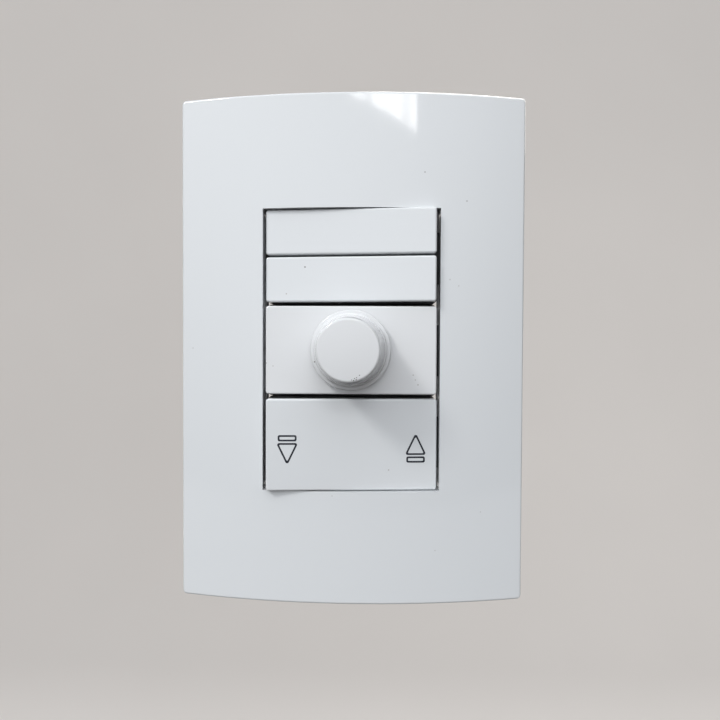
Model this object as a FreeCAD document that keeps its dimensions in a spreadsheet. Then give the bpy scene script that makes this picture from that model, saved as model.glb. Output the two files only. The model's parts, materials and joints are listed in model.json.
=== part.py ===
import FreeCAD, Part
import math
import os
import re
import Sketcher

# Fan speed control switch: a wall plate over three snap-in modules.
# Millimetres. +X to the right and +Z up as seen from the front. The wall is the plane y = 0,
# the face of the switch looks along -Y, and the modules reach back into the wall box along +Y.
# A level is a y value, so a level in front of the wall is negative.

SIZES = [
    # Wall plate
    ("plate_side_cover", 5.0, "support frame's side to the plate's edge"),
    ("plate_end_cover", 5.75, "support frame's end to the plate's edge"),
    ("plate_depth", 8.0, "wall to the plate's front along its middle"),
    ("plate_side_depth", 3.8, "wall to the plate's front at its two sides"),
    ("plate_wall", 1.8, "thickness of the plate's curved front"),
    ("plate_rim", 1.8, "thickness of the plate's outer rim"),
    ("plate_edge_round", 0.6, "radius of the plate's front edges"),
    ("plate_corner_round", 1.0, "radius of the plate's four corners"),
    ("opening_side_gap", 0.4, "module housing to the side of the plate's opening"),
    ("opening_end_gap", 0.05, "row of modules to the end of the plate's opening"),
    ("collar_wall", 1.0, "thickness of the collar behind the opening"),
    ("collar_gap", 0.3, "collar to the module shoulders"),
    ("rib_wall", 1.2, "thickness of the plate's cross ribs"),
    ("rib_gap", 4.9, "end of the opening to the middle of a cross rib"),
    ("rib_inset", 9.0, "plate's side to a cross rib's end"),
    ("pry_notch_width", 8.0, "screwdriver notch under the plate"),
    ("pry_notch_depth", 1.4, "screwdriver notch, from the wall"),
    # Pegs that hold the plate on the support frame
    ("peg_side_inset", 10.0, "support frame's side to a peg's middle"),
    ("peg_end_inset", 5.0, "support frame's end to a peg's middle"),
    ("peg_radius", 1.5, "plate peg"),
    ("peg_reach", 1.6, "free length of frame behind a peg's tip"),
    ("peg_play", 0.08, "peg to its socket"),
    ("socket_wall", 1.3, "wall of a peg socket"),
    ("socket_height", 1.5, "peg socket above the frame"),
    # Support frame
    ("frame_bar", 15.1, "module housings to the support frame's side"),
    ("frame_end", 10.85, "box screw to the support frame's end"),
    ("frame_thick", 2.0, "support frame, front to back"),
    ("frame_corner", 4.0, "radius of the support frame's corners"),
    ("frame_play", 0.3, "support frame to a module housing"),
    ("frame_lip", 0.8, "height of the frame's stiffening lip"),
    ("frame_lip_wall", 1.2, "thickness of the frame's stiffening lip"),
    ("frame_lip_half", 18.0, "half of the length of the frame's stiffening lip"),
    ("slot_width", 4.4, "box screw slot, up and down"),
    ("slot_length", 9.0, "box screw slot, side to side"),
    # Box screws
    ("box_screw_inset", 9.4, "row of modules to a box screw"),
    ("box_screw_radius", 1.75, "box screw's thread"),
    ("box_screw_neck", 1.45, "box screw's neck in the slot"),
    ("box_screw_length", 16.0, "box screw's thread behind the wall face"),
    ("box_screw_head", 3.4, "radius of the box screw's head"),
    ("box_screw_head_high", 1.9, "height of the box screw's head"),
    ("box_screw_crown", 1.9, "radius of the flat on the box screw's head"),
    ("box_screw_rim", 0.8, "height of the straight rim of the box screw's head"),
    ("box_screw_slot", 0.9, "width of the box screw's driver slot"),
    ("box_screw_slot_deep", 0.9, "depth of the box screw's driver slot"),
    # Module housings
    ("module_pitch", 21.6, "one module to the next"),
    ("module_gap", 0.3, "clear space between two housings"),
    ("housing_width", 39.8, "housing, side to side"),
    ("housing_depth", 20.0, "wall face to the housing's rear"),
    ("housing_wall", 1.2, "housing wall"),
    ("housing_floor", 1.5, "housing's rear wall"),
    ("housing_chamfer", 0.7, "chamfer on the housing's corners and rear edges"),
    ("rear_step", 0.6, "terminal blocks behind the middle of a housing's rear"),
    ("shoulder_thick", 1.0, "shoulder that rests on the frame"),
    ("shoulder_reach", 1.1, "shoulder, out from the housing's side"),
    ("shoulder_height", 12.0, "shoulder, up and down"),
    ("clip_reach", 0.85, "snap clip, out from the housing's side"),
    ("clip_height", 7.0, "snap clip, up and down"),
    ("clip_length", 2.4, "snap clip, front to back"),
    ("clip_gap", 0.1, "snap clip to the frame's rear"),
    ("ear_width", 6.0, "pivot ear on a housing wall"),
    ("ear_cover", 1.3, "ear in front of the pivot's middle"),
    ("shelf_wall", 1.2, "partition that carries the contact strips"),
    ("cell_post", 3.0, "post under the middle of a common strip"),
    # Rockers
    ("face_depth", 7.5, "wall to the rocker and cover faces"),
    ("rocker_side_gap", 0.75, "rocker to the side of the plate's opening"),
    ("rocker_gap", 0.5, "clear space between two rockers"),
    ("rocker_margin", 0.3, "end rocker's face to its module's edge"),
    ("rocker_skin", 1.6, "thickness of a rocker's face"),
    ("rocker_skirt", 2.3, "rocker's face to its skirt's rear"),
    ("rocker_wall", 1.2, "thickness of a rocker's skirt"),
    ("rocker_round", 0.45, "radius of a rocker's front edges"),
    ("rocker_corner", 0.6, "radius of a rocker's four corners"),
    ("rocker_tilt", 4.1, "rocker's tilt to either side, in degrees"),
    ("pivot_depth", 4.2, "rocker's face to its pivot"),
    ("pivot_radius", 1.0, "rocker's pivot pin"),
    ("pivot_play", 0.05, "pivot pin to its hole"),
    ("pivot_reach", 0.8, "pivot pin, out from its lug"),
    ("lug_radius", 2.0, "rocker's pivot lug"),
    ("lug_wall", 1.4, "thickness of a pivot lug"),
    ("lug_gap", 0.25, "pivot lug to the housing wall"),
    # Plungers and springs
    ("plunger_radius", 1.6, "plunger that tips the contact bar"),
    ("plunger_length", 6.4, "plunger, end to tip"),
    ("plunger_reach", 7.3, "pivot to the plunger's tip"),
    ("plunger_play", 0.08, "plunger to its tube"),
    ("plunger_dome", 1.0, "length of the plunger's tapered tip"),
    ("plunger_tip", 0.65, "radius of the flat on the plunger's tip"),
    ("tube_wall", 0.9, "wall of the plunger's tube"),
    ("tube_reach", 4.8, "pivot to the tube's rear end"),
    ("spring_wire", 0.2, "half of the thickness of the spring's wire"),
    ("spring_play", 0.08, "spring to the tube's wall"),
    ("spring_seat", 0.05, "spring to the faces that it presses on"),
    # Contact bars and terminals
    ("bar_gap", 0.3, "plunger's tip to the contact bar"),
    ("bar_end", 1.8, "contact button's middle to the contact bar's end"),
    ("bar_width", 4.6, "contact bar, up and down"),
    ("bar_tip_width", 3.2, "contact bar's tapered ends, up and down"),
    ("bar_taper", 3.0, "contact button's middle to the start of the bar's taper"),
    ("bar_thick", 0.8, "thickness of a contact bar"),
    ("bar_tilt", 9.0, "contact bar's tilt to either side, in degrees"),
    ("knife_gap", 0.1, "contact bar to the knife edge that it rocks on"),
    ("contact_inset", 3.4, "terminal clamp to the middle of its contact button"),
    ("contact_radius", 1.4, "contact button"),
    ("contact_high", 0.6, "height of a contact button"),
    ("contact_margin", 2.0, "contact button's middle to its strip's end"),
    ("knife_flat", 0.2, "width of the top of a knife edge"),
    ("contact_gap", 0.15, "shut contact, button to button"),
    ("strip_thick", 0.8, "thickness of a terminal strip"),
    ("strip_width", 5.0, "terminal strip, up and down"),
    ("clamp_width", 6.2, "terminal clamp, side to side"),
    ("clamp_height", 6.0, "terminal clamp, up and down"),
    ("clamp_floor_gap", 2.25, "terminal clamp to the housing's rear wall"),
    ("clamp_wall", 1.1, "wall of a terminal clamp"),
    ("clamp_side_gap", 0.3, "terminal clamp to the housing's side wall"),
    ("clamp_end_gap", 1.55, "one of a pair of clamps to the housing's upper or lower wall"),
    ("clamp_screw_radius", 1.45, "terminal screw's thread"),
    ("clamp_screw_grip", 2.4, "terminal screw's tip inside the clamp"),
    ("clamp_screw_head", 2.4, "radius of the terminal screw's head"),
    ("clamp_screw_head_high", 1.2, "height of the terminal screw's head"),
    ("driver_slot_width", 0.6, "terminal screw's driver slot"),
    ("driver_slot_deep", 0.6, "depth of the terminal screw's driver slot"),
    ("driver_hole", 2.7, "radius of the driver hole in a housing's side"),
    ("wire_hole", 1.8, "radius of a wire entry in a housing's rear"),
    # Fan control module
    ("cover_side_gap", 0.8, "control cover to the side of the plate's opening"),
    ("cover_end_gap", 0.75, "control cover to its module's upper or lower edge"),
    ("cover_skin", 1.8, "thickness of the control cover's face"),
    ("cover_wall", 1.3, "thickness of the control cover's skirt"),
    ("cover_corner", 0.6, "radius of the control cover's four corners"),
    ("cover_round", 0.35, "radius of the control cover's front edge"),
    ("tongue_gap", 0.12, "control cover's tongue to the housing wall"),
    ("tongue_reach", 1.0, "control cover's tongue behind the wall face"),
    ("knob_height", 13.4, "control cover's face to the knob's face"),
    ("knob_gap", 0.4, "control cover's face to the knob"),
    ("knob_skirt_radius", 9.1, "knob's skirt"),
    ("knob_skirt_high", 1.5, "height of the knob's skirt"),
    ("knob_step_radius", 8.2, "knob's body where it leaves the skirt"),
    ("knob_step_high", 1.1, "height of the knob's straight step"),
    ("knob_base_radius", 7.85, "knob's tapered body, at its foot"),
    ("knob_face_radius", 6.75, "knob's tapered body, at its face"),
    ("knob_edge_chamfer", 0.45, "chamfer on the knob's face edge"),
    ("knob_wall", 1.2, "thickness of the knob's wall and face"),
    ("knob_boss_radius", 4.3, "boss round the spindle"),
    ("knob_boss_start", 3.4, "knob's foot to its boss"),
    ("knob_rib_wall", 1.0, "thickness of a rib in the knob"),
    ("knob_rib_start", 5.1, "knob's foot to its ribs"),
    ("knob_turn", 270.0, "knob's turn from slow to fast, in degrees"),
    ("spindle_radius", 3.0, "spindle"),
    ("spindle_flat", 1.6, "spindle's middle to its flat"),
    ("spindle_play", 0.05, "spindle to its bearing and to the knob's bore"),
    ("spindle_end", 1.9, "spindle's end to the knob's face"),
    ("spindle_chamfer", 0.3, "chamfer on the spindle's end"),
    ("bearing_radius", 3.5, "threaded bearing of the regulator"),
    ("bearing_high", 2.9, "bearing above the control cover's face"),
    ("bearing_play", 0.1, "bearing to the cover, washer and nut"),
    ("bearing_chamfer", 0.3, "chamfer on the bearing's end"),
    ("washer_radius", 5.2, "washer under the nut"),
    ("washer_thick", 0.5, "washer's thickness"),
    ("nut_flats", 9.0, "nut, across its flats"),
    ("nut_high", 1.7, "nut's height"),
    ("regulator_gap", 1.45, "regulator's case to the housing's upper and lower walls"),
    ("regulator_depth", 6.6, "regulator's case, front to back"),
    ("regulator_wall", 1.0, "wall of the regulator's case"),
    ("track_thick", 1.2, "thickness of the resistance wafer"),
    ("track_margin", 1.1, "inside of the regulator's case to its resistance track"),
    ("track_width", 1.8, "width of the resistance track"),
    ("track_high", 0.1, "resistance track above its wafer"),
    ("track_spare", 10.0, "resistance track beyond each end of the wiper's way, in degrees"),
    ("leg_width", 1.2, "regulator's solder leg"),
    ("leg_thick", 0.5, "thickness of a solder leg"),
    ("leg_pitch", 2.5, "one solder leg to the next"),
    ("leg_hole", 0.72, "radius of a solder leg's hole in the board"),
    ("carrier_margin", 0.8, "inside of the regulator's case to the wiper carrier"),
    ("carrier_thick", 1.2, "thickness of the wiper carrier"),
    ("carrier_gap", 0.3, "wiper carrier to the case"),
    ("wiper_width", 2.4, "wiper spring"),
    ("wiper_thick", 0.3, "thickness of the wiper spring"),
    ("wiper_gap", 0.15, "wiper's tip to the track"),
    ("wiper_bend", 2.5, "spindle's middle to the wiper's bend"),
    ("board_side_gap", 0.7, "circuit board to the housing's side walls"),
    ("board_end_gap", 0.45, "circuit board to the housing's upper and lower walls"),
    ("board_thick", 1.6, "thickness of the circuit board"),
    ("board_level", 4.2, "wall face to the circuit board's front"),
    ("board_post", 3.4, "side of a post that carries the board"),
    ("sink_side_gap", 0.7, "heat sink to the terminal clamps"),
    ("sink_thick", 1.2, "thickness of the heat sink"),
    ("sink_lift", 0.6, "circuit board to the heat sink"),
    ("sink_floor_gap", 1.5, "heat sink to the housing's rear wall"),
    ("sink_edge", 0.3, "heat sink to the housing wall"),
    ("sink_fin", 2.4, "height of the heat sink's folded edges"),
    ("triac_margin", 0.3, "triac's front and rear to the heat sink's"),
    ("triac_thick", 4.4, "triac, up and down"),
    ("triac_chamfer", 0.6, "chamfer on the triac's body"),
    ("triac_leg_gap", 0.8, "triac's legs to the heat sink's left edge fold"),
    ("triac_tab_gap", 0.7, "triac's tab to the heat sink's right edge fold"),
    ("triac_tab_length", 6.0, "triac's metal tab"),
    ("triac_tab_thick", 1.2, "thickness of the triac's tab"),
    ("triac_tab_hole", 1.7, "hole in the triac's tab"),
    ("triac_tab_hole_place", 3.3, "triac's body to the hole in its tab"),
    ("triac_leg_pitch", 2.54, "one triac leg to the next"),
    ("rivet_head", 2.9, "heat sink rivet's head"),
    ("rivet_head_high", 0.9, "height of the heat sink rivet's head"),
    ("rivet_crown", 2.0, "radius of the flat on the heat sink rivet's head"),
    ("rivet_play", 0.1, "heat sink rivet to its holes"),
    ("choke_radius", 4.4, "choke's flanges"),
    ("choke_drum", 2.0, "choke's drum under the winding"),
    ("choke_floor_gap", 3.3, "choke to the housing's rear wall"),
    ("choke_flange", 1.2, "thickness of a choke flange"),
    ("choke_side_gap", 0.6, "choke to the left terminal clamp"),
    ("choke_end_gap", 1.45, "choke to the housing's upper wall"),
    ("winding_gap", 0.35, "winding inside the flanges' rim"),
    ("capacitor_thick", 4.6, "capacitor, up and down"),
    ("capacitor_floor_gap", 3.1, "capacitor to the housing's rear wall"),
    ("capacitor_side_gap", 0.6, "capacitor to the right terminal clamp"),
    ("capacitor_choke_gap", 1.0, "capacitor to the choke"),
    ("capacitor_end_gap", 0.95, "capacitor to the housing's upper wall"),
    ("capacitor_chamfer", 0.7, "chamfer on the capacitor's edges"),
    ("resistor_radius", 1.2, "resistor's body"),
    ("resistor_lead_reach", 1.5, "resistor's body to the outside of its lead"),
    ("resistor_pitch", 2.9, "one resistor to the next"),
    ("resistor_gap", 0.9, "capacitor to the upper resistor"),
    ("resistor_inset", 0.8, "capacitor's end to the outside of a resistor's lead"),
    ("lead_radius", 0.3, "half of the thickness of a small component's lead"),
    ("diode_radius", 0.9, "trigger diode's body"),
    ("diode_length", 4.0, "trigger diode's body"),
    ("diode_lead_pitch", 5.8, "one lead of the trigger diode to its other lead"),
    ("diode_gap", 0.6, "trigger diode to the choke"),
]


# Sizes with the arithmetic that keeps every derived size tied to the sheet


class Size:
    """A number, with the expression that gives the same number from the sheet."""

    def __init__(self, number, text):
        self.number = number
        self.text = text

    def __add__(self, other):
        other = as_size(other)
        return Size(self.number + other.number, f"({self.text} + {other.text})")

    def __sub__(self, other):
        other = as_size(other)
        return Size(self.number - other.number, f"({self.text} - {other.text})")

    def __mul__(self, other):
        other = as_size(other)
        return Size(self.number * other.number, f"({self.text} * {other.text})")

    def __truediv__(self, other):
        other = as_size(other)
        return Size(self.number / other.number, f"({self.text} / {other.text})")

    def __radd__(self, other):
        return as_size(other) + self

    def __rsub__(self, other):
        return as_size(other) - self

    def __rmul__(self, other):
        return as_size(other) * self

    def __neg__(self):
        return Size(-self.number, f"(-1 * {self.text})")


def as_size(value):
    """A plain number as a Size."""
    return value if isinstance(value, Size) else Size(float(value), repr(float(value)))


def root(size):
    return Size(math.sqrt(size.number), f"sqrt({size.text})")


def sine(angle):
    return Size(math.sin(math.radians(angle.number)), f"sin({angle.text} * 1 deg)")


def cosine(angle):
    return Size(math.cos(math.radians(angle.number)), f"cos({angle.text} * 1 deg)")


class Sheet:
    """The driving sizes: Sheet.name is the size called name."""


def make_sheet(document):
    """The spreadsheet: a name, a plain number and a note in each row."""
    cells = document.addObject("Spreadsheet::Sheet", "Sizes")
    for row, (name, value, note) in enumerate(SIZES, start=1):
        cells.set(f"A{row}", name)
        cells.set(f"B{row}", str(value))
        cells.set(f"C{row}", note)
        cells.setAlias(f"B{row}", name)
        setattr(Sheet, name, Size(float(value), f"Sizes.{name}"))
    document.recompute()


def bind(target, path, size):
    """Tie one property of an object to the sheet."""
    size = as_size(size)
    if re.search("[a-z]", size.text):
        target.setExpression(path, size.text)
    elif "." in path:
        target.setExpression(path, f"{size.number}")
    else:
        setattr(target, path, size.number)


# Sketches and the features made from them

doc = FreeCAD.newDocument("fan_speed_control_switch")
make_sheet(doc)
S = Sheet
PLANES = {"top": "XY_Plane", "front": "XZ_Plane", "side": "YZ_Plane"}
SAME_PLACE = 1e-6
# A half circle's arc is a hair over half its own width, so that its ends have one place
HALF_TURN = 1.0001
# Pipe corners that run on to a sharp mitre
RIGHT_CORNERS = 1
# Ribs and posts start this deep in the wall that carries them
SET_IN = 0.1


class Ring:
    """A circle in a sketch."""

    def __init__(self, across, up, radius):
        self.across = as_size(across)
        self.up = as_size(up)
        self.radius = as_size(radius)


def new_body(name):
    body = doc.addObject("PartDesign::Body", name)
    body.Label = name
    return body


def fix_point(sketch, curve, vertex, across, up):
    """Hold one vertex of a sketch at its two distances from the sketch's origin."""
    for kind, axis, size in (("DistanceX", -2, across), ("DistanceY", -1, up)):
        if size.text == "0.0":
            sketch.addConstraint(Sketcher.Constraint("PointOnObject", curve, vertex, axis))
            continue
        limit = Sketcher.Constraint(kind, -1, 1, curve, vertex, size.number)
        number = sketch.addConstraint(limit)
        sketch.setExpression(f"Constraints[{number}]", size.text)


def draw_ring(sketch, ring):
    centre = FreeCAD.Vector(ring.across.number, ring.up.number, 0)
    circle = Part.Circle(centre, FreeCAD.Vector(0, 0, 1), ring.radius.number)
    curve = sketch.addGeometry(circle, False)
    fix_point(sketch, curve, 3, ring.across, ring.up)
    number = sketch.addConstraint(Sketcher.Constraint("Radius", curve, ring.radius.number))
    if ring.radius.text != repr(ring.radius.number):
        sketch.setExpression(f"Constraints[{number}]", ring.radius.text)


def arc_between(start, end, radius):
    """An arc that bulges to the right of the way from start to end."""
    chord = end - start
    half = chord.Length / 2
    rise = radius - math.sqrt(max(radius * radius - half * half, 0.0))
    right = FreeCAD.Vector(chord.y, -chord.x, 0).normalize()
    return Part.Arc(start, start + chord * 0.5 + right * rise, end)


def draw_outline(sketch, corners):
    """A closed outline. A corner with a third size starts an arc of that radius."""
    spots = [FreeCAD.Vector(as_size(c[0]).number, as_size(c[1]).number, 0) for c in corners]
    curves = []
    for index, corner in enumerate(corners):
        start, end = spots[index], spots[(index + 1) % len(spots)]
        if len(corner) == 3:
            curve = arc_between(start, end, as_size(corner[2]).number)
        else:
            curve = Part.LineSegment(start, end)
        curves.append(sketch.addGeometry(curve, False))
    ends = []
    for curve, spot in zip(curves, spots):
        first = sketch.getPoint(curve, 1)
        ends.append((1, 2) if (first - spot).Length < SAME_PLACE else (2, 1))
    for index, curve in enumerate(curves):
        after = (index + 1) % len(curves)
        limit = Sketcher.Constraint("Coincident", curve, ends[index][1], curves[after], ends[after][0])
        sketch.addConstraint(limit)
    for index, corner in enumerate(corners):
        fix_point(sketch, curves[index], ends[index][0], as_size(corner[0]), as_size(corner[1]))
        if len(corner) == 3:
            radius = as_size(corner[2])
            limit = Sketcher.Constraint("Radius", curves[index], radius.number)
            number = sketch.addConstraint(limit)
            sketch.setExpression(f"Constraints[{number}]", radius.text)


def new_sketch(body, name, plane, level, shapes):
    """A sketch on one of the body's own planes, moved along that plane's axis to a level."""
    sketch = body.newObject("Sketcher::SketchObject", name + "_sketch")
    role = PLANES[plane]
    support = next(f for f in body.Origin.OriginFeatures if f.Role == role)
    sketch.AttachmentSupport = (support, [""])
    sketch.MapMode = "FlatFace"
    bind(sketch, "AttachmentOffset.Base.z", -as_size(level) if plane == "front" else level)
    for shape in shapes:
        if isinstance(shape, Ring):
            draw_ring(sketch, shape)
        else:
            draw_outline(sketch, shape)
    return sketch


def extrude(body, name, plane, low, high, *shapes, cut=False):
    """Add or cut the sketched shapes between two levels on the plane's axis."""
    low, high = as_size(low), as_size(high)
    level = high if plane == "front" else low
    sketch = new_sketch(body, name, plane, level, shapes)
    feature = body.newObject("PartDesign::Pocket" if cut else "PartDesign::Pad", name)
    feature.Profile = sketch
    if cut:
        feature.Reversed = True
    bind(feature, "Length", high - low)
    return feature


def carve(body, name, plane, low, high, *shapes):
    return extrude(body, name, plane, low, high, *shapes, cut=True)


def turn(body, name, shape, cut=False):
    """Turn a profile about the body's own y axis. Its points are (radius, level)."""
    sketch = new_sketch(body, name, "top", 0, [shape])
    feature = body.newObject("PartDesign::Groove" if cut else "PartDesign::Revolution", name)
    feature.Profile = sketch
    feature.ReferenceAxis = (sketch, ["V_Axis"])
    feature.Angle = 360
    return feature


def dress_edges(body, name, kind, measure, size, chosen):
    """Round or chamfer the edges of the body so far that the test called chosen picks out."""
    doc.recompute()
    base = body.Tip
    names = [f"Edge{n}" for n, edge in enumerate(base.Shape.Edges, start=1) if chosen(edge)]
    feature = body.newObject(kind, name)
    feature.Base = (base, names)
    bind(feature, measure, size)
    return feature


def round_edges(body, name, radius, chosen):
    return dress_edges(body, name, "PartDesign::Fillet", "Radius", radius, chosen)


def chamfer_edges(body, name, size, chosen):
    return dress_edges(body, name, "PartDesign::Chamfer", "Size", size, chosen)


def box_outline(left, low, right, high):
    return [(left, low), (right, low), (right, high), (left, high)]


def centred(width, height, across=0, up=0):
    """A rectangle by its size and its middle."""
    return box_outline(across - width / 2, up - height / 2, across + width / 2, up + height / 2)


def runs_along(edge, axis):
    """True for a straight edge along one axis, given as 0, 1 or 2."""
    if edge.Curve.TypeId != "Part::GeomLine":
        return False
    way = edge.Vertexes[-1].Point - edge.Vertexes[0].Point
    return abs(abs(way[axis]) - way.Length) < SAME_PLACE * 10


def near(value, size):
    return abs(value - as_size(size).number) < SAME_PLACE * 100


# Primitives and booleans for the small pressed and turned pieces


def block(name, across, level, up):
    """A box from three (low, high) pairs, along X, Y and Z."""
    piece = doc.addObject("Part::Box", name)
    for side, (low, high) in zip(("Length", "Width", "Height"), (across, level, up)):
        bind(piece, side, as_size(high) - low)
    for axis, (low, high) in zip("xyz", (across, level, up)):
        bind(piece, f"Placement.Base.{axis}", low)
    return piece


AXIS_TURNS = {
    "x": FreeCAD.Rotation(FreeCAD.Vector(0, 1, 0), 90),
    "y": FreeCAD.Rotation(FreeCAD.Vector(1, 0, 0), -90),
    "z": FreeCAD.Rotation(),
}


def aim(piece, axis, centre, low):
    """Stand a round primitive on its axis. The centre is its place across that axis."""
    piece.Placement = FreeCAD.Placement(FreeCAD.Vector(), AXIS_TURNS[axis])
    start = {"x": (low, *centre), "y": (centre[0], low, centre[1]), "z": (*centre, low)}[axis]
    for letter, size in zip("xyz", start):
        bind(piece, f"Placement.Base.{letter}", size)


def rod(name, axis, centre, low, high, radius):
    piece = doc.addObject("Part::Cylinder", name)
    bind(piece, "Radius", radius)
    bind(piece, "Height", as_size(high) - low)
    aim(piece, axis, centre, low)
    return piece


def cone(name, axis, centre, low, high, first_radius, last_radius):
    piece = doc.addObject("Part::Cone", name)
    bind(piece, "Radius1", first_radius)
    bind(piece, "Radius2", last_radius)
    bind(piece, "Height", as_size(high) - low)
    aim(piece, axis, centre, low)
    return piece


def fuse(name, pieces):
    joined = doc.addObject("Part::MultiFuse", name)
    joined.Shapes = pieces
    joined.Refine = True
    joined.Label = name
    return joined


def cut(name, base, tools):
    tool = tools[0] if len(tools) == 1 else fuse(name + "_tools", tools)
    trimmed = doc.addObject("Part::Cut", name)
    trimmed.Base = base
    trimmed.Tool = tool
    trimmed.Label = name
    return trimmed


def group(name, pieces):
    """Like pieces kept as one node of separate solids."""
    together = doc.addObject("Part::Compound", name)
    together.Links = pieces
    together.Label = name
    return together


def place(piece, across=0, level=0, up=0, tilt=None, spin=None):
    """Put a piece where it lives, tilted about its z axis or spun about its y axis at rest."""
    for angle, axis in ((tilt, FreeCAD.Vector(0, 0, 1)), (spin, FreeCAD.Vector(0, 1, 0))):
        if angle is not None:
            turned = FreeCAD.Rotation(axis, angle.number)
            piece.Placement = FreeCAD.Placement(FreeCAD.Vector(), turned)
            bind(piece, "Placement.Rotation.Angle", angle)
    for axis, size in zip("xyz", (across, level, up)):
        bind(piece, f"Placement.Base.{axis}", size)
    return piece


# Levels and places that several pieces share

FRAME_FRONT = -S.frame_thick
RIM_FRONT = FRAME_FRONT - S.shoulder_thick
COLLAR_REAR = RIM_FRONT - S.collar_gap
FACE = -S.face_depth
PIVOT = FACE + S.pivot_depth
TIP = PIVOT + S.plunger_reach
BAR_PIVOT = TIP + S.bar_gap + S.bar_thick
KNIFE = BAR_PIVOT + S.knife_gap
FLOOR = S.housing_depth - S.housing_floor

HOUSING_HALF_WIDTH = S.housing_width / 2
HOUSING_HALF_HEIGHT = (S.module_pitch - S.module_gap) / 2
CAVITY_HALF_WIDTH = HOUSING_HALF_WIDTH - S.housing_wall
CAVITY_HALF_HEIGHT = HOUSING_HALF_HEIGHT - S.housing_wall
CLAMP_OUTER = CAVITY_HALF_WIDTH - S.clamp_side_gap
CLAMP_INNER = CLAMP_OUTER - S.clamp_width
CLAMP_ACROSS = (CLAMP_OUTER + CLAMP_INNER) / 2
CLAMP_UP = CAVITY_HALF_HEIGHT - S.clamp_end_gap - S.clamp_height / 2

# The fixed contacts are clear of a contact bar's buttons at the end of their swing
CONTACT_ACROSS = CLAMP_INNER - S.contact_inset
CONTACT_SWING = (CONTACT_ACROSS + S.contact_radius) * sine(S.bar_tilt)
CONTACT = BAR_PIVOT + CONTACT_SWING + S.contact_high + S.contact_gap
STRIP = CONTACT + S.contact_high
CLAMP = STRIP + S.strip_thick
CLAMP_REAR = FLOOR - S.clamp_floor_gap
CLAMP_MIDDLE = (CLAMP + CLAMP_REAR) / 2

# The plate's opening, the support frame and the plate go round the row of modules
ROW_HALF_HEIGHT = (S.module_pitch * 3 - S.module_gap) / 2
OPENING_HALF_WIDTH = HOUSING_HALF_WIDTH + S.opening_side_gap
OPENING_HALF_HEIGHT = ROW_HALF_HEIGHT + S.opening_end_gap
BOX_SCREW_UP = ROW_HALF_HEIGHT + S.box_screw_inset
FRAME_HALF_WIDTH = HOUSING_HALF_WIDTH + S.frame_bar
FRAME_HALF_HEIGHT = BOX_SCREW_UP + S.frame_end
PEG_ACROSS = FRAME_HALF_WIDTH - S.peg_side_inset
PEG_UP = FRAME_HALF_HEIGHT - S.peg_end_inset
PLATE_HALF = FRAME_HALF_WIDTH + S.plate_side_cover
PLATE_HALF_HEIGHT = FRAME_HALF_HEIGHT + S.plate_end_cover
RIB_UP = OPENING_HALF_HEIGHT + S.rib_gap
RIB_HALF_LENGTH = PLATE_HALF - S.rib_inset

TOP_MODULE = S.module_pitch
MIDDLE_MODULE = as_size(0)
LOW_MODULE = -S.module_pitch

# Two half-height rockers share the top module, so each has a cell of its own
HALF_CELL = S.module_pitch / 4
HALF_CELL_HALF_HEIGHT = CAVITY_HALF_HEIGHT - HALF_CELL
HALF_ROCKER_HEIGHT = S.module_pitch / 2 - S.rocker_gap
FULL_ROCKER_HEIGHT = S.module_pitch - S.rocker_margin * 2
ROCKER_WIDTH = (OPENING_HALF_WIDTH - S.rocker_side_gap) * 2


# Wall plate

PLATE_BULGE = S.plate_depth - S.plate_side_depth
PLATE_ARC = (PLATE_HALF * PLATE_HALF + PLATE_BULGE * PLATE_BULGE) / (PLATE_BULGE * 2)


def skin_level(across, depth):
    """Level of the plate's curved front at a distance from its middle, that deep in its wall."""
    radius = PLATE_ARC - depth
    return PLATE_ARC - S.plate_depth - root(radius * radius - across * across)


def make_wall_plate():
    body = new_body("wall_plate")
    extrude(
        body, "plate_block", "top", -PLATE_HALF_HEIGHT, PLATE_HALF_HEIGHT,
        [(-PLATE_HALF, 0), (-PLATE_HALF, -S.plate_side_depth, PLATE_ARC),
         (PLATE_HALF, -S.plate_side_depth), (PLATE_HALF, 0)],
    )
    round_edges(body, "plate_corners", S.plate_corner_round,
                lambda edge: runs_along(edge, 1) and near(edge.BoundBox.YMax, 0))
    round_edges(body, "plate_front_edges", S.plate_edge_round,
                lambda edge: edge.BoundBox.YMax < -S.plate_side_depth.number + S.plate_edge_round.number)
    inner_half = PLATE_HALF - S.plate_rim
    inner_height = PLATE_HALF_HEIGHT - S.plate_rim
    inner_side = skin_level(inner_half, S.plate_wall)
    inner_arc = PLATE_ARC - S.plate_wall
    carve(
        body, "plate_hollow", "top", -inner_height, inner_height,
        [(-inner_half, 0), (-inner_half, inner_side, inner_arc),
         (inner_half, inner_side), (inner_half, 0)],
    )
    add_plate_collar(body)
    add_plate_ribs(body)
    add_plate_pegs(body)
    carve(
        body, "pry_notch", "front", -S.pry_notch_depth, 0,
        centred(S.pry_notch_width, S.plate_rim * 2, 0, -PLATE_HALF_HEIGHT),
    )
    return body


def add_plate_collar(body):
    """The wall behind the opening's edge, then the opening itself."""
    half_width = OPENING_HALF_WIDTH + S.collar_wall
    half_height = OPENING_HALF_HEIGHT + S.collar_wall
    middle = S.plate_wall / 2
    extrude(
        body, "collar", "top", -half_height, half_height,
        [(-half_width, COLLAR_REAR), (-half_width, skin_level(half_width, middle), PLATE_ARC - middle),
         (half_width, skin_level(half_width, middle)), (half_width, COLLAR_REAR)],
    )
    carve(body, "opening", "front", -S.plate_depth * 2, 0,
          centred(OPENING_HALF_WIDTH * 2, OPENING_HALF_HEIGHT * 2))


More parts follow.
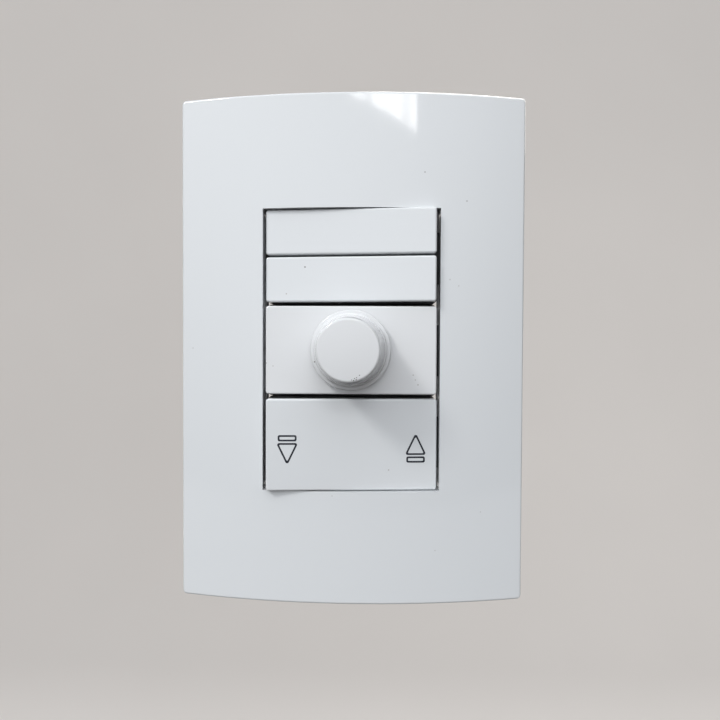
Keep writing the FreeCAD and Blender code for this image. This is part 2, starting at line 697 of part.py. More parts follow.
def add_plate_ribs(body):
    """Cross ribs that stiffen the plate above and below the collar."""
    middle = S.plate_wall / 2
    rear = FRAME_FRONT - S.collar_gap
    for side, name in ((1, "upper_rib"), (-1, "lower_rib")):
        low = RIB_UP * side - S.rib_wall / 2
        extrude(
            body, name, "top", low, low + S.rib_wall,
            [(-RIB_HALF_LENGTH, rear),
             (-RIB_HALF_LENGTH, skin_level(RIB_HALF_LENGTH, middle), PLATE_ARC - middle),
             (RIB_HALF_LENGTH, skin_level(RIB_HALF_LENGTH, middle)),
             (RIB_HALF_LENGTH, rear)],
        )


def peg_rings(radius):
    return [Ring(PEG_ACROSS * x, PEG_UP * z, radius) for x in (-1, 1) for z in (-1, 1)]


def add_plate_pegs(body):
    level = skin_level(PEG_ACROSS, S.plate_wall / 2)
    pegs = peg_rings(S.peg_radius)
    extrude(body, "pegs", "front", level, -(S.frame_thick - S.peg_reach), *pegs)


# Support frame and the two screws that hold it on the wall box


def make_support_frame():
    body = new_body("support_frame")
    extrude(body, "frame_sheet", "front", FRAME_FRONT, 0,
            centred(FRAME_HALF_WIDTH * 2, FRAME_HALF_HEIGHT * 2))
    round_edges(body, "frame_corners", S.frame_corner, lambda edge: runs_along(edge, 1))
    opening_width = (HOUSING_HALF_WIDTH + S.frame_play) * 2
    opening_height = (ROW_HALF_HEIGHT + S.frame_play) * 2
    sockets = peg_rings(S.peg_radius + S.peg_play + S.socket_wall)
    extrude(body, "peg_sockets", "front", FRAME_FRONT - S.socket_height, FRAME_FRONT, *sockets)
    half_slot = S.slot_length / 2 - S.slot_width / 2
    for side, name in ((1, "upper"), (-1, "lower")):
        add_frame_lip(body, name, side)
        middle = BOX_SCREW_UP * side
        low, high = middle - S.slot_width / 2, middle + S.slot_width / 2
        carve(body, name + "_slot", "front", FRAME_FRONT * 2, 0,
              [(-half_slot, low), (half_slot, low, S.slot_width / 2 * HALF_TURN),
               (half_slot, high), (-half_slot, high, S.slot_width / 2 * HALF_TURN)])
    carve(body, "frame_opening", "front", FRAME_FRONT * 2, 0,
          centred(opening_width, opening_height))
    holes = peg_rings(S.peg_radius + S.peg_play)
    carve(body, "socket_holes", "front", FRAME_FRONT - S.socket_height * 2, 0, *holes)
    return body


def add_frame_lip(body, name, side):
    """A raised lip across the frame, between the opening and a box screw."""
    rib_clear = RIB_UP - S.rib_wall / 2 - S.collar_gap
    top = rib_clear * side
    bottom = (rib_clear - S.frame_lip_wall) * side
    low, high = (bottom, top) if side > 0 else (top, bottom)
    extrude(body, name + "_lip", "front", FRAME_FRONT - S.frame_lip, FRAME_FRONT,
            box_outline(-S.frame_lip_half, low, S.frame_lip_half, high))


def make_box_screw(name, side):
    """A pan-head screw whose thread starts at the wall face."""
    body = new_body(name)
    head_level = FRAME_FRONT - S.box_screw_head_high
    turn(body, name + "_turned", [
        (0, head_level), (S.box_screw_crown, head_level),
        (S.box_screw_head, FRAME_FRONT - S.box_screw_rim),
        (S.box_screw_head, FRAME_FRONT), (S.box_screw_neck, FRAME_FRONT), (S.box_screw_neck, 0),
        (S.box_screw_radius, 0), (S.box_screw_radius, S.box_screw_length), (0, S.box_screw_length),
    ])
    carve(body, name + "_driver_slot", "front",
          head_level - S.box_screw_slot_deep, head_level + S.box_screw_slot_deep,
          centred(S.box_screw_head * 3, S.box_screw_slot))
    return place(body, 0, 0, BOX_SCREW_UP * side)


# Module housings


def start_housing(name, module):
    """The moulded box that every module shares: shell, shoulders and snap clips."""
    body = new_body(name)
    extrude(body, name + "_block", "front", RIM_FRONT, S.housing_depth,
            centred(S.housing_width, HOUSING_HALF_HEIGHT * 2))
    chamfer_edges(body, name + "_rear_edges", S.housing_chamfer,
                  lambda edge: near(edge.BoundBox.YMin, S.housing_depth)
                  or (runs_along(edge, 1) and near(edge.Length, S.housing_depth - RIM_FRONT)))
    carve(body, name + "_rear_step", "front", S.housing_depth - S.rear_step, S.housing_depth * 2,
          centred(CLAMP_INNER * 2, HOUSING_HALF_HEIGHT * 4))
    shoulder = HOUSING_HALF_WIDTH + S.shoulder_reach
    extrude(body, name + "_shoulders", "front", RIM_FRONT, FRAME_FRONT,
            centred(shoulder * 2, S.shoulder_height))
    for side, label in ((-1, "_left_clip"), (1, "_right_clip")):
        inner = (HOUSING_HALF_WIDTH - S.housing_wall / 2) * side
        outer = (HOUSING_HALF_WIDTH + S.clip_reach) * side
        low = S.clip_gap
        high = S.clip_gap + S.clip_length
        extrude(body, name + label, "top", -S.clip_height / 2, S.clip_height / 2,
                [(inner, low), (outer, low), (inner, high)])
    place(body, 0, 0, module)
    return body


def hollow(body, name, middle, half_height):
    """One open cell in a housing."""
    carve(body, name, "front", RIM_FRONT * 2, FLOOR,
          centred(CAVITY_HALF_WIDTH * 2, half_height * 2, 0, middle))


def add_ears(body, name):
    """Pivot ears that stand up from the housing's upper and lower walls."""
    for side, label in ((-1, "_lower_ear"), (1, "_upper_ear")):
        outer = HOUSING_HALF_HEIGHT * side
        inner = CAVITY_HALF_HEIGHT * side
        low, high = (outer, inner) if side < 0 else (inner, outer)
        extrude(body, name + label, "front", PIVOT - S.ear_cover, RIM_FRONT,
                box_outline(-S.ear_width / 2, low, S.ear_width / 2, high))


def drill_pivots(body, name, middle, half_height):
    """The blind holes that a rocker's two pins turn in."""
    reach = half_height - S.lug_gap + S.pivot_reach + S.pivot_play
    carve(body, name, "top", middle - reach, middle + reach,
          Ring(0, PIVOT, S.pivot_radius + S.pivot_play))


def add_shelves(body, name, middle, half_height):
    """Partitions and a middle post that the contact strips lie on."""
    inner = CLAMP_INNER - S.clamp_side_gap
    low, high = middle - half_height - S.housing_wall / 2, middle + half_height + S.housing_wall / 2
    for side, label in ((-1, "_left_shelf"), (1, "_right_shelf")):
        near_edge, far_edge = (inner - S.shelf_wall) * side, inner * side
        left, right = (far_edge, near_edge) if side < 0 else (near_edge, far_edge)
        extrude(body, name + label, "front", CLAMP, FLOOR + S.housing_floor / 2,
                box_outline(left, low, right, high))
    extrude(body, name + "_post", "front", CLAMP, FLOOR + S.housing_floor / 2,
            box_outline(-S.cell_post / 2, low, S.cell_post / 2, high))


def drill_clamp_holes(body, name, side, up):
    """The driver hole in a housing's side and the wire entry in its rear, for one clamp."""
    low, high = (-S.housing_width, -CAVITY_HALF_WIDTH + S.housing_wall / 2)
    if side > 0:
        low, high = (CAVITY_HALF_WIDTH - S.housing_wall / 2, S.housing_width)
    carve(body, name + "_driver_hole", "side", low, high, Ring(CLAMP_MIDDLE, up, S.driver_hole))
    carve(body, name + "_wire_hole", "front", FLOOR - S.housing_floor / 2, S.housing_depth * 2,
          Ring(CLAMP_ACROSS * side, up, S.wire_hole))


def make_twin_housing():
    name = "twin_housing"
    body = start_housing(name, TOP_MODULE)
    add_ears(body, name)
    # The wall between the two cells rises to an ear as well
    wall_half = HALF_CELL - HALF_CELL_HALF_HEIGHT
    extrude(body, name + "_middle_ear", "front", PIVOT - S.ear_cover, RIM_FRONT,
            box_outline(-S.ear_width / 2, -wall_half, S.ear_width / 2, wall_half))
    for side, label in ((1, "first"), (-1, "second")):
        middle = HALF_CELL * side
        hollow(body, f"{name}_{label}_cell", middle, HALF_CELL_HALF_HEIGHT)
        add_shelves(body, f"{name}_{label}", middle, HALF_CELL_HALF_HEIGHT)
        drill_pivots(body, f"{name}_{label}_pivots", middle, HALF_CELL_HALF_HEIGHT)
        drill_clamp_holes(body, f"{name}_{label}_common", -1, middle)
        drill_clamp_holes(body, f"{name}_{label}_switched", 1, middle)
    return body


def make_reversing_housing():
    name = "reversing_housing"
    body = start_housing(name, LOW_MODULE)
    add_ears(body, name)
    hollow(body, name + "_cell", as_size(0), CAVITY_HALF_HEIGHT)
    add_shelves(body, name, as_size(0), CAVITY_HALF_HEIGHT)
    drill_pivots(body, name + "_pivots", as_size(0), CAVITY_HALF_HEIGHT)
    drill_clamp_holes(body, name + "_left", -1, CLAMP_UP)
    drill_clamp_holes(body, name + "_common", -1, -CLAMP_UP)
    drill_clamp_holes(body, name + "_right", 1, CLAMP_UP)
    return body


def make_control_housing():
    name = "control_housing"
    body = start_housing(name, MIDDLE_MODULE)
    hollow(body, name + "_cell", as_size(0), CAVITY_HALF_HEIGHT)
    posts = []
    for x in (-1, 1):
        for z in (-1, 1):
            posts.append(centred(S.board_post, S.board_post,
                                 (CAVITY_HALF_WIDTH - S.board_post / 2 + SET_IN) * x,
                                 (CAVITY_HALF_HEIGHT - S.board_post / 2 + SET_IN) * z))
    extrude(body, name + "_board_posts", "front", S.board_level + S.board_thick,
            FLOOR + S.housing_floor / 2, *posts)
    drill_clamp_holes(body, name + "_supply", -1, 0)
    drill_clamp_holes(body, name + "_fan", 1, 0)
    return body


# Rockers, with the plunger and spring that each one carries


def make_rocker(name, height, cell_half_height, up, tilt):
    """A rocker in its own frame, with its pivot axis at the origin."""
    body = new_body(name)
    face = -S.pivot_depth
    skirt = face + S.rocker_skirt
    skin = face + S.rocker_skin
    extrude(body, name + "_cap", "front", face, skirt, centred(ROCKER_WIDTH, height))
    round_edges(body, name + "_corners", S.rocker_corner, lambda edge: runs_along(edge, 1))
    round_edges(body, name + "_front_edges", S.rocker_round,
                lambda edge: near(edge.BoundBox.YMax, face))
    carve(body, name + "_hollow", "front", skin, 0,
          centred(ROCKER_WIDTH - S.rocker_wall * 2, height - S.rocker_wall * 2))
    lug_outer = cell_half_height - S.lug_gap
    for side, label in ((-1, "_lower"), (1, "_upper")):
        edge, inner = lug_outer * side, (lug_outer - S.lug_wall) * side
        low, high = (edge, inner) if side < 0 else (inner, edge)
        extrude(body, name + label + "_lug", "top", low, high,
                [(-S.lug_radius, skin - S.rocker_skin / 2), (S.lug_radius, skin - S.rocker_skin / 2),
                 (S.lug_radius, 0, S.lug_radius * HALF_TURN), (-S.lug_radius, 0)])
        tip = (lug_outer + S.pivot_reach) * side
        low, high = (tip, edge) if side < 0 else (edge, tip)
        extrude(body, name + label + "_pin", "top", low, high, Ring(0, 0, S.pivot_radius))
    bore = S.plunger_radius + S.plunger_play
    extrude(body, name + "_tube", "front", skin - S.rocker_skin / 2, S.tube_reach,
            Ring(0, 0, bore + S.tube_wall))
    carve(body, name + "_tube_bore", "front", skin, S.tube_reach * 2, Ring(0, 0, bore))
    return place(body, 0, PIVOT, up, tilt)


def make_plunger(name, up, tilt):
    """A pin with a tapered tip. Its spring presses on the flat end."""
    body = new_body(name)
    start = S.plunger_reach - S.plunger_length
    turn(body, name + "_turned", [
        (0, start), (S.plunger_radius, start),
        (S.plunger_radius, S.plunger_reach - S.plunger_dome),
        (S.plunger_tip, S.plunger_reach), (0, S.plunger_reach),
    ])
    return place(body, 0, PIVOT, up, tilt)


SPRING_TURNS = 4
SPRING_SIDES = 8


def make_spring(name, up, tilt):
    """An open coil of square wire, with eight short runs to a turn, held between two flat faces."""
    half = S.spring_wire.number
    radius = (S.plunger_radius + S.plunger_play - S.spring_play - S.spring_wire).number
    start = (-S.pivot_depth + S.rocker_skin + S.spring_seat).number + half
    end = (S.plunger_reach - S.plunger_length - S.spring_seat).number - half
    runs = SPRING_TURNS * SPRING_SIDES
    path = []
    for step in range(runs + 1):
        angle = math.tau * step / SPRING_SIDES
        level = start + (end - start) * step / runs
        path.append(FreeCAD.Vector(radius * math.cos(angle), level, radius * math.sin(angle)))
    corners = [FreeCAD.Vector(radius + x * half, start + y * half, 0)
               for x, y in ((-1, -1), (1, -1), (1, 1), (-1, 1), (-1, -1))]
    coil = doc.addObject("Part::Feature", name)
    coil.Label = name
    section = Part.makePolygon(corners)
    coil.Shape = Part.makePolygon(path).makePipeShell([section], True, False, RIGHT_CORNERS)
    return place(coil, 0, PIVOT, up, tilt)


# Contact bars, terminals and screws


def make_contact_bar(name, up, tilt):
    """A shallow rocking bar. Its own origin is the line that it rocks on."""
    body = new_body(name)
    end, shoulder = CONTACT_ACROSS + S.bar_end, CONTACT_ACROSS - S.bar_taper
    half, tip = S.bar_width / 2, S.bar_tip_width / 2
    extrude(body, name + "_strip", "front", -S.bar_thick, 0,
            [(-end, -tip), (-shoulder, -half), (shoulder, -half), (end, -tip),
             (end, tip), (shoulder, half), (-shoulder, half), (-end, tip)])
    return place(body, 0, BAR_PIVOT, up, tilt)


def make_bar_contacts(name, up, tilt):
    """The two contact buttons welded to a contact bar, in the bar's own frame."""
    buttons = [rod(name + label, "y", (CONTACT_ACROSS * side, 0), 0, S.contact_high, S.contact_radius)
               for side, label in ((-1, "_left"), (1, "_right"))]
    return place(group(name, buttons), 0, BAR_PIVOT, up, tilt)


def make_clamp(name, side, up):
    """A square brass tube that a wire goes into, with the threaded hole of its screw."""
    outer, inner = CLAMP_OUTER * side, CLAMP_INNER * side
    across = (outer, inner) if side < 0 else (inner, outer)
    wall = S.clamp_wall
    shell = block(name + "_shell", across, (CLAMP, CLAMP_REAR),
                  (up - S.clamp_height / 2, up + S.clamp_height / 2))
    tunnel = block(name + "_tunnel", (across[0] + wall, across[1] - wall),
                   (CLAMP + wall, S.housing_depth),
                   (up - S.clamp_height / 2 + wall, up + S.clamp_height / 2 - wall))
    low, high = (outer - wall, outer + wall * 2) if side < 0 else (outer - wall * 2, outer + wall)
    thread = rod(name + "_thread", "x", (CLAMP_MIDDLE, up), low, high, S.clamp_screw_radius)
    return shell, [tunnel, thread]


def make_terminal(name, side, clamp_up, strips, knife=None):
    """A strip with its clamp, and a knife edge on some."""
    shell, holes = make_clamp(name, side, clamp_up)
    pieces = [shell] + strips
    if knife is not None:
        pieces.append(knife)
    return cut(name, fuse(name + "_blank", pieces), holes)


def strip_block(name, left, right, low, high):
    return block(name, (left, right), (STRIP, CLAMP), (low, high))


def knife_edge(name, up):
    """The upright edge that a contact bar rocks on."""
    body = new_body(name)
    half = S.strip_thick / 2
    extrude(body, name + "_web", "top", up - S.bar_width / 2, up + S.bar_width / 2,
            [(-half, CLAMP), (-half, KNIFE + half), (-S.knife_flat / 2, KNIFE),
             (S.knife_flat / 2, KNIFE), (half, KNIFE + half), (half, CLAMP)])
    return body


def make_common_terminal(name, up):
    """Left-hand terminal whose strip runs to the knife edge in the middle of its cell."""
    half = S.strip_width / 2
    strip = strip_block(name + "_strip", -CLAMP_OUTER, S.strip_thick / 2, up - half, up + half)
    return make_terminal(name, -1, up, [strip], knife=knife_edge(name + "_knife", up))


def make_switched_terminal(name, side, clamp_up, contact_up):
    """A side terminal whose strip carries a fixed contact."""
    half = S.strip_width / 2
    tip = (CONTACT_ACROSS - S.contact_margin) * side
    outer = CLAMP_OUTER * side
    left, right = (outer, tip) if side < 0 else (tip, outer)
    strips = [strip_block(name + "_strip", left, right, contact_up - half, contact_up + half)]
    if clamp_up.number != contact_up.number:
        near_edge = CLAMP_INNER * side
        left, right = (outer, near_edge) if side < 0 else (near_edge, outer)
        strips.append(strip_block(name + "_foot", left, right, contact_up - half,
                                  clamp_up + S.clamp_height / 2))
    return make_terminal(name, side, clamp_up, strips)


def make_reversing_common():
    """The common terminal of the full-height switch: its strip goes round the left contact."""
    name = "reversing_common_terminal"
    middle = LOW_MODULE
    clamp_up = middle - CLAMP_UP
    low = clamp_up - S.clamp_height / 2
    half = S.strip_thick / 2
    strips = [
        strip_block(name + "_strip", -CLAMP_OUTER, half * 3, low, clamp_up - S.contact_high),
        strip_block(name + "_arm", -half * 3, half * 3, low, middle + S.bar_width / 2),
    ]
    return make_terminal(name, -1, clamp_up, strips, knife=knife_edge(name + "_knife", middle))


def make_fixed_contacts(places):
    """The contact buttons welded to the fixed strips, one for each (across, height) pair."""
    buttons = [rod(f"fixed_contact_{number}", "y", centre, CONTACT, STRIP, S.contact_radius)
               for number, centre in enumerate(places, start=1)]
    return group("fixed_contacts", buttons)


def make_clamp_screw(name, side, up):
    """A terminal screw, driven from the housing's side."""
    seat = CLAMP_OUTER * side
    top = seat + S.clamp_screw_head_high * side
    tip = (CLAMP_OUTER - S.clamp_screw_grip) * side
    low, high = (top, seat) if side < 0 else (seat, top)
    head = rod(name + "_head", "x", (CLAMP_MIDDLE, up), low, high, S.clamp_screw_head)
    low, high = (seat, tip) if side < 0 else (tip, seat)
    shank = rod(name + "_shank", "x", (CLAMP_MIDDLE, up), low, high, S.clamp_screw_radius)
    deep = top - S.driver_slot_deep * side
    outside = top + S.driver_slot_deep * side
    low, high = (outside, deep) if side < 0 else (deep, outside)
    half = S.driver_slot_width / 2
    slot = block(name + "_slot", (low, high), (CLAMP_MIDDLE - half, CLAMP_MIDDLE + half),
                 (up - S.clamp_screw_head * 2, up + S.clamp_screw_head * 2))
    return cut(name, fuse(name + "_blank", [head, shank]), [slot])


def make_clamp_screws(name, places):
    """The screws of one module, one for each (side, height) pair."""
    return group(name, [make_clamp_screw(f"{name}_{number}", side, up)
                        for number, (side, up) in enumerate(places, start=1)])


# Fan control module: cover, knob and regulator

KNOB_FOOT = FACE - S.knob_gap
KNOB_FACE = FACE - S.knob_height
BOSS = KNOB_FOOT - S.knob_boss_start
SPINDLE_END = KNOB_FACE + S.spindle_end
CASE_FRONT = FACE + S.cover_skin
CASE_REAR = CASE_FRONT + S.regulator_depth
WAFER = CASE_REAR - S.track_thick
TRACK = WAFER - S.track_high
CARRIER = CASE_FRONT + S.regulator_wall + S.carrier_gap
CARRIER_REAR = CARRIER + S.carrier_thick
BOARD_REAR = S.board_level + S.board_thick
COVER_WIDTH = (OPENING_HALF_WIDTH - S.cover_side_gap) * 2
COVER_HEIGHT = S.module_pitch - S.cover_end_gap * 2
REGULATOR_RADIUS = CAVITY_HALF_HEIGHT - S.regulator_gap
REGULATOR_INNER = REGULATOR_RADIUS - S.regulator_wall
TRACK_OUTER = REGULATOR_INNER - S.track_margin
TRACK_INNER = TRACK_OUTER - S.track_width
LEG_UP = -(TRACK_OUTER - S.leg_thick)


def make_control_cover():
    name = "control_cover"
    body = new_body(name)
    extrude(body, name + "_block", "front", FACE, RIM_FRONT, centred(COVER_WIDTH, COVER_HEIGHT))
    round_edges(body, name + "_corners", S.cover_corner, lambda edge: runs_along(edge, 1))
    round_edges(body, name + "_front_edges", S.cover_round,
                lambda edge: near(edge.BoundBox.YMax, FACE))
    carve(body, name + "_hollow", "front", CASE_FRONT, 0,
          centred(COVER_WIDTH - S.cover_wall * 2, COVER_HEIGHT - S.cover_wall * 2))
    carve(body, name + "_bearing_hole", "front", FACE * 2, 0,
          Ring(0, 0, S.bearing_radius + S.bearing_play))
    outer = CAVITY_HALF_HEIGHT - S.tongue_gap
    for side, label in ((-1, "_lower_tongue"), (1, "_upper_tongue")):
        edge, inner = outer * side, (outer - S.cover_wall) * side
        low, high = (edge, inner) if side < 0 else (inner, edge)
        extrude(body, name + label, "front", RIM_FRONT - SET_IN, S.tongue_reach,
                box_outline(-S.ear_width / 2, low, S.ear_width / 2, high))
    return body


def make_knob():
    """The stepped and tapered knob: a thin shell, a boss with a flat in its bore, and four ribs."""
    name = "knob"
    body = new_body(name)
    inside = KNOB_FACE + S.knob_wall
    skirt_top = KNOB_FOOT - S.knob_skirt_high
    step_top = skirt_top - S.knob_step_high
    turn(body, name + "_shell", [
        (S.knob_face_radius - S.knob_wall, KNOB_FOOT), (S.knob_skirt_radius, KNOB_FOOT),
        (S.knob_skirt_radius, skirt_top), (S.knob_step_radius, skirt_top),
        (S.knob_step_radius, step_top), (S.knob_base_radius, step_top),
        (S.knob_face_radius, KNOB_FACE), (0, KNOB_FACE), (0, BOSS),
        (S.knob_boss_radius, BOSS), (S.knob_boss_radius, inside),
        (S.knob_face_radius - S.knob_wall, inside),
    ])
    span = S.knob_face_radius * 2 - S.knob_wall
    for label, rib in (("_cross_rib", centred(span, S.knob_rib_wall)),
                       ("_upright_rib", centred(S.knob_rib_wall, span))):
        extrude(body, name + label, "front", inside - S.knob_wall / 2,
                KNOB_FOOT - S.knob_rib_start, rib)
    bore = S.spindle_radius + S.spindle_play
    flat = S.spindle_flat + S.spindle_play
    carve(body, name + "_bore", "front", SPINDLE_END - S.spindle_play, 0, Ring(0, 0, bore))
    half_chord = root(bore * bore - flat * flat) + S.spindle_play
    extrude(body, name + "_bore_flat", "front", SPINDLE_END - S.spindle_play, BOSS,
            box_outline(-half_chord, flat, half_chord, bore))
    chamfer_edges(body, name + "_face_edge", S.knob_edge_chamfer,
                  lambda edge: near(edge.BoundBox.YMax, KNOB_FACE))
    return body


def make_spindle():
    name = "spindle"
    body = new_body(name)
    turn(body, name + "_turned", [
        (0, SPINDLE_END), (S.spindle_radius - S.spindle_chamfer, SPINDLE_END),
        (S.spindle_radius, SPINDLE_END + S.spindle_chamfer),
        (S.spindle_radius, CARRIER_REAR), (0, CARRIER_REAR),
    ])
    carve(body, name + "_flat", "front", SPINDLE_END * 2, BOSS + S.spindle_play,
          box_outline(-S.spindle_radius * 2, S.spindle_flat, S.spindle_radius * 2, S.spindle_radius * 2))
    return body


def make_wiper_carrier():
    level = (CARRIER, CARRIER_REAR)
    disc = rod("wiper_carrier_disc", "y", (0, 0), *level, REGULATOR_INNER - S.carrier_margin)
    bore = rod("wiper_carrier_bore", "y", (0, 0), *level, S.spindle_radius)
    return cut("wiper_carrier", disc, [bore])


def make_wiper():
    """A spring strip with one finger. It rests at the slow end of the track."""
    name = "wiper"
    body = new_body(name)
    track = (TRACK_OUTER + TRACK_INNER) / 2
    tip = TRACK - S.wiper_gap
    back = CARRIER_REAR + S.wiper_thick
    extrude(body, name + "_strip", "side", -S.wiper_width / 2, S.wiper_width / 2, [
        (CARRIER_REAR, -track), (back, -track), (back, S.wiper_bend), (tip - S.wiper_thick, track),
        (tip, track + S.wiper_thick), (tip - S.wiper_thick, track + S.wiper_thick * 2),
        (CARRIER_REAR, S.wiper_bend + S.wiper_thick),
    ])
    return place(body, spin=-S.knob_turn / 2)


def make_regulator_case():
    """The turned bearing and the cup behind the cover, in one piece."""
    name = "regulator_case"
    body = new_body(name)
    bore = S.spindle_radius + S.spindle_play
    turn(body, name + "_turned", [
        (bore, FACE - S.bearing_high),
        (S.bearing_radius - S.bearing_chamfer, FACE - S.bearing_high),
        (S.bearing_radius, FACE - S.bearing_high + S.bearing_chamfer),
        (S.bearing_radius, CASE_FRONT), (REGULATOR_RADIUS, CASE_FRONT),
        (REGULATOR_RADIUS, CASE_REAR), (REGULATOR_INNER, CASE_REAR),
        (REGULATOR_INNER, CASE_FRONT + S.regulator_wall), (bore, CASE_FRONT + S.regulator_wall),
    ])
    return body


def make_washer():
    level = (FACE - S.washer_thick, FACE)
    disc = rod("regulator_washer_disc", "y", (0, 0), *level, S.washer_radius)
    bore = rod("regulator_washer_bore", "y", (0, 0), *level, S.bearing_radius + S.bearing_play)
    return cut("regulator_washer", disc, [bore])


def make_nut():
    name = "regulator_nut"
    body = new_body(name)
    half = S.nut_flats / 2
    corner = S.nut_flats / root(as_size(3))
    points = [(corner, 0), (corner / 2, half), (-corner / 2, half),
              (-corner, 0), (-corner / 2, -half), (corner / 2, -half)]
    rear = FACE - S.washer_thick
    extrude(body, name + "_hexagon", "front", rear - S.nut_high, rear, points)
    carve(body, name + "_bore", "front", rear - S.nut_high * 2, 0,
          Ring(0, 0, S.bearing_radius + S.bearing_play / 2))
    return body


def make_resistance_wafer():
    """The wafer that closes the regulator's case, with its printed track on the front."""
    name = "resistance_wafer"
    body = new_body(name)
    extrude(body, name + "_disc", "front", WAFER, CASE_REAR,
            Ring(0, 0, REGULATOR_INNER - S.spindle_play))
    extrude(body, name + "_track", "front", TRACK, WAFER,
            Ring(0, 0, TRACK_OUTER), Ring(0, 0, TRACK_INNER))
    half_gap = 180 - S.knob_turn / 2 - S.track_spare
    reach = TRACK_OUTER * 2
    carve(body, name + "_track_gap", "front", TRACK * 2, WAFER,
          [(0, 0), (-reach * sine(half_gap), -reach * cosine(half_gap)),
           (reach * sine(half_gap), -reach * cosine(half_gap))])
    holes = [centred(S.leg_width, S.leg_thick, S.leg_pitch * k, LEG_UP) for k in (-1, 0, 1)]
    carve(body, name + "_leg_holes", "front", TRACK * 2, CASE_REAR * 2, *holes)
    return body


def make_regulator_legs():
    """Three solder legs from the wafer to the circuit board."""
    legs = []
    for number, k in enumerate((-1, 0, 1), start=1):
        middle = S.leg_pitch * k
        legs.append(block(f"regulator_leg_{number}",
                          (middle - S.leg_width / 2, middle + S.leg_width / 2),
                          (WAFER, BOARD_REAR + S.leg_thick),
                          (LEG_UP - S.leg_thick / 2, LEG_UP + S.leg_thick / 2)))
    return group("regulator_legs", legs)


# Fan control module: circuit board and the parts on it


def make_circuit_board():
    name = "circuit_board"
    body = new_body(name)
    extrude(body, name + "_sheet", "front", S.board_level, BOARD_REAR,
            centred((CAVITY_HALF_WIDTH - S.board_side_gap) * 2,
                    (CAVITY_HALF_HEIGHT - S.board_end_gap) * 2))
    holes = [Ring(S.leg_pitch * k, LEG_UP, S.leg_hole) for k in (-1, 0, 1)]
    carve(body, name + "_leg_holes", "front", S.board_level / 2, BOARD_REAR * 2, *holes)
    return body


SINK_LOW = -CAVITY_HALF_HEIGHT + S.sink_edge
SINK_TOP = SINK_LOW + S.sink_thick
TAB_TOP = SINK_TOP + S.triac_tab_thick
TRIAC_TOP = SINK_TOP + S.triac_thick
SINK_FRONT = BOARD_REAR + S.sink_lift
SINK_REAR = FLOOR - S.sink_floor_gap
SINK_HALF_WIDTH = CLAMP_INNER - S.sink_side_gap
SINK_INNER = SINK_HALF_WIDTH - S.sink_thick
# The triac lies between the edge folds of the heat sink, with its legs on the left
TRIAC_LEFT = -SINK_INNER + S.triac_leg_gap + S.leg_thick + S.leg_width * 3
TRIAC_RIGHT = SINK_INNER - S.triac_tab_gap - S.triac_tab_length
TRIAC_LEVEL = (SINK_FRONT + SINK_REAR) / 2
TRIAC_HALF_WIDTH = (SINK_REAR - SINK_FRONT) / 2 - S.triac_margin
TAB_HOLE_ACROSS = TRIAC_RIGHT + S.triac_tab_hole_place


def make_heat_sink():
    level = (SINK_FRONT, SINK_REAR)
    sheet = block("heat_sink_sheet", (-SINK_HALF_WIDTH, SINK_HALF_WIDTH), level, (SINK_LOW, SINK_TOP))
    fins = [block(f"heat_sink_fin_{number}", (left, left + S.sink_thick), level,
                  (SINK_LOW, SINK_TOP + S.sink_fin))
            for number, left in ((1, -SINK_HALF_WIDTH), (2, SINK_INNER))]
    hole = rod("heat_sink_hole", "z", (TAB_HOLE_ACROSS, TRIAC_LEVEL), SINK_LOW, SINK_TOP, S.triac_tab_hole)
    return cut("heat_sink", fuse("heat_sink_blank", [sheet] + fins), [hole])


def make_triac():
    """The moulded body, chamfered along its top."""
    name = "triac"
    body = new_body(name)
    half = TRIAC_HALF_WIDTH
    slope = S.triac_chamfer
    extrude(body, name + "_block", "side", TRIAC_LEFT, TRIAC_RIGHT,
            [(TRIAC_LEVEL - half, TAB_TOP), (TRIAC_LEVEL + half, TAB_TOP),
             (TRIAC_LEVEL + half, TRIAC_TOP - slope), (TRIAC_LEVEL + half - slope, TRIAC_TOP),
             (TRIAC_LEVEL - half + slope, TRIAC_TOP), (TRIAC_LEVEL - half, TRIAC_TOP - slope)])
    return body


def make_triac_leads():
    """The metal tab under the triac and its three bent legs."""
    level = (TRIAC_LEVEL - TRIAC_HALF_WIDTH, TRIAC_LEVEL + TRIAC_HALF_WIDTH)
    tab = block("triac_tab_sheet", (TRIAC_LEFT, TRIAC_RIGHT + S.triac_tab_length),
                level, (SINK_TOP, TAB_TOP))
    hole = rod("triac_tab_hole", "z", (TAB_HOLE_ACROSS, TRIAC_LEVEL), SINK_TOP, TAB_TOP, S.triac_tab_hole)
    pieces = [cut("triac_tab", tab, [hole])]
    thick = S.leg_thick
    up = (TAB_TOP + S.leg_thick, TAB_TOP + S.leg_thick * 2)
    for number in range(3):
        level = TRIAC_LEVEL + S.triac_leg_pitch * (number - 1)
        bend = TRIAC_LEFT - S.leg_width * (number + 1)
        out = block(f"triac_leg_{number}_out", (bend, TRIAC_LEFT), (level - thick / 2, level + thick / 2), up)
        down = block(f"triac_leg_{number}_down", (bend - thick, bend), (BOARD_REAR, level + thick / 2), up)
        pieces.append(fuse(f"triac_leg_{number}", [out, down]))
    return group("triac_leads", pieces)


def make_sink_rivet():
    centre = (TAB_HOLE_ACROSS, TRIAC_LEVEL)
    shank = rod("sink_rivet_shank", "z", centre, SINK_LOW, TAB_TOP, S.triac_tab_hole - S.rivet_play)
    head = cone("sink_rivet_top", "z", centre, TAB_TOP, TAB_TOP + S.rivet_head_high,
                S.rivet_head, S.rivet_crown)
    return fuse("sink_rivet", [shank, head])


CHOKE_ACROSS = -(CLAMP_INNER - S.choke_side_gap - S.choke_radius)
CHOKE_UP = CAVITY_HALF_HEIGHT - S.choke_end_gap - S.choke_radius
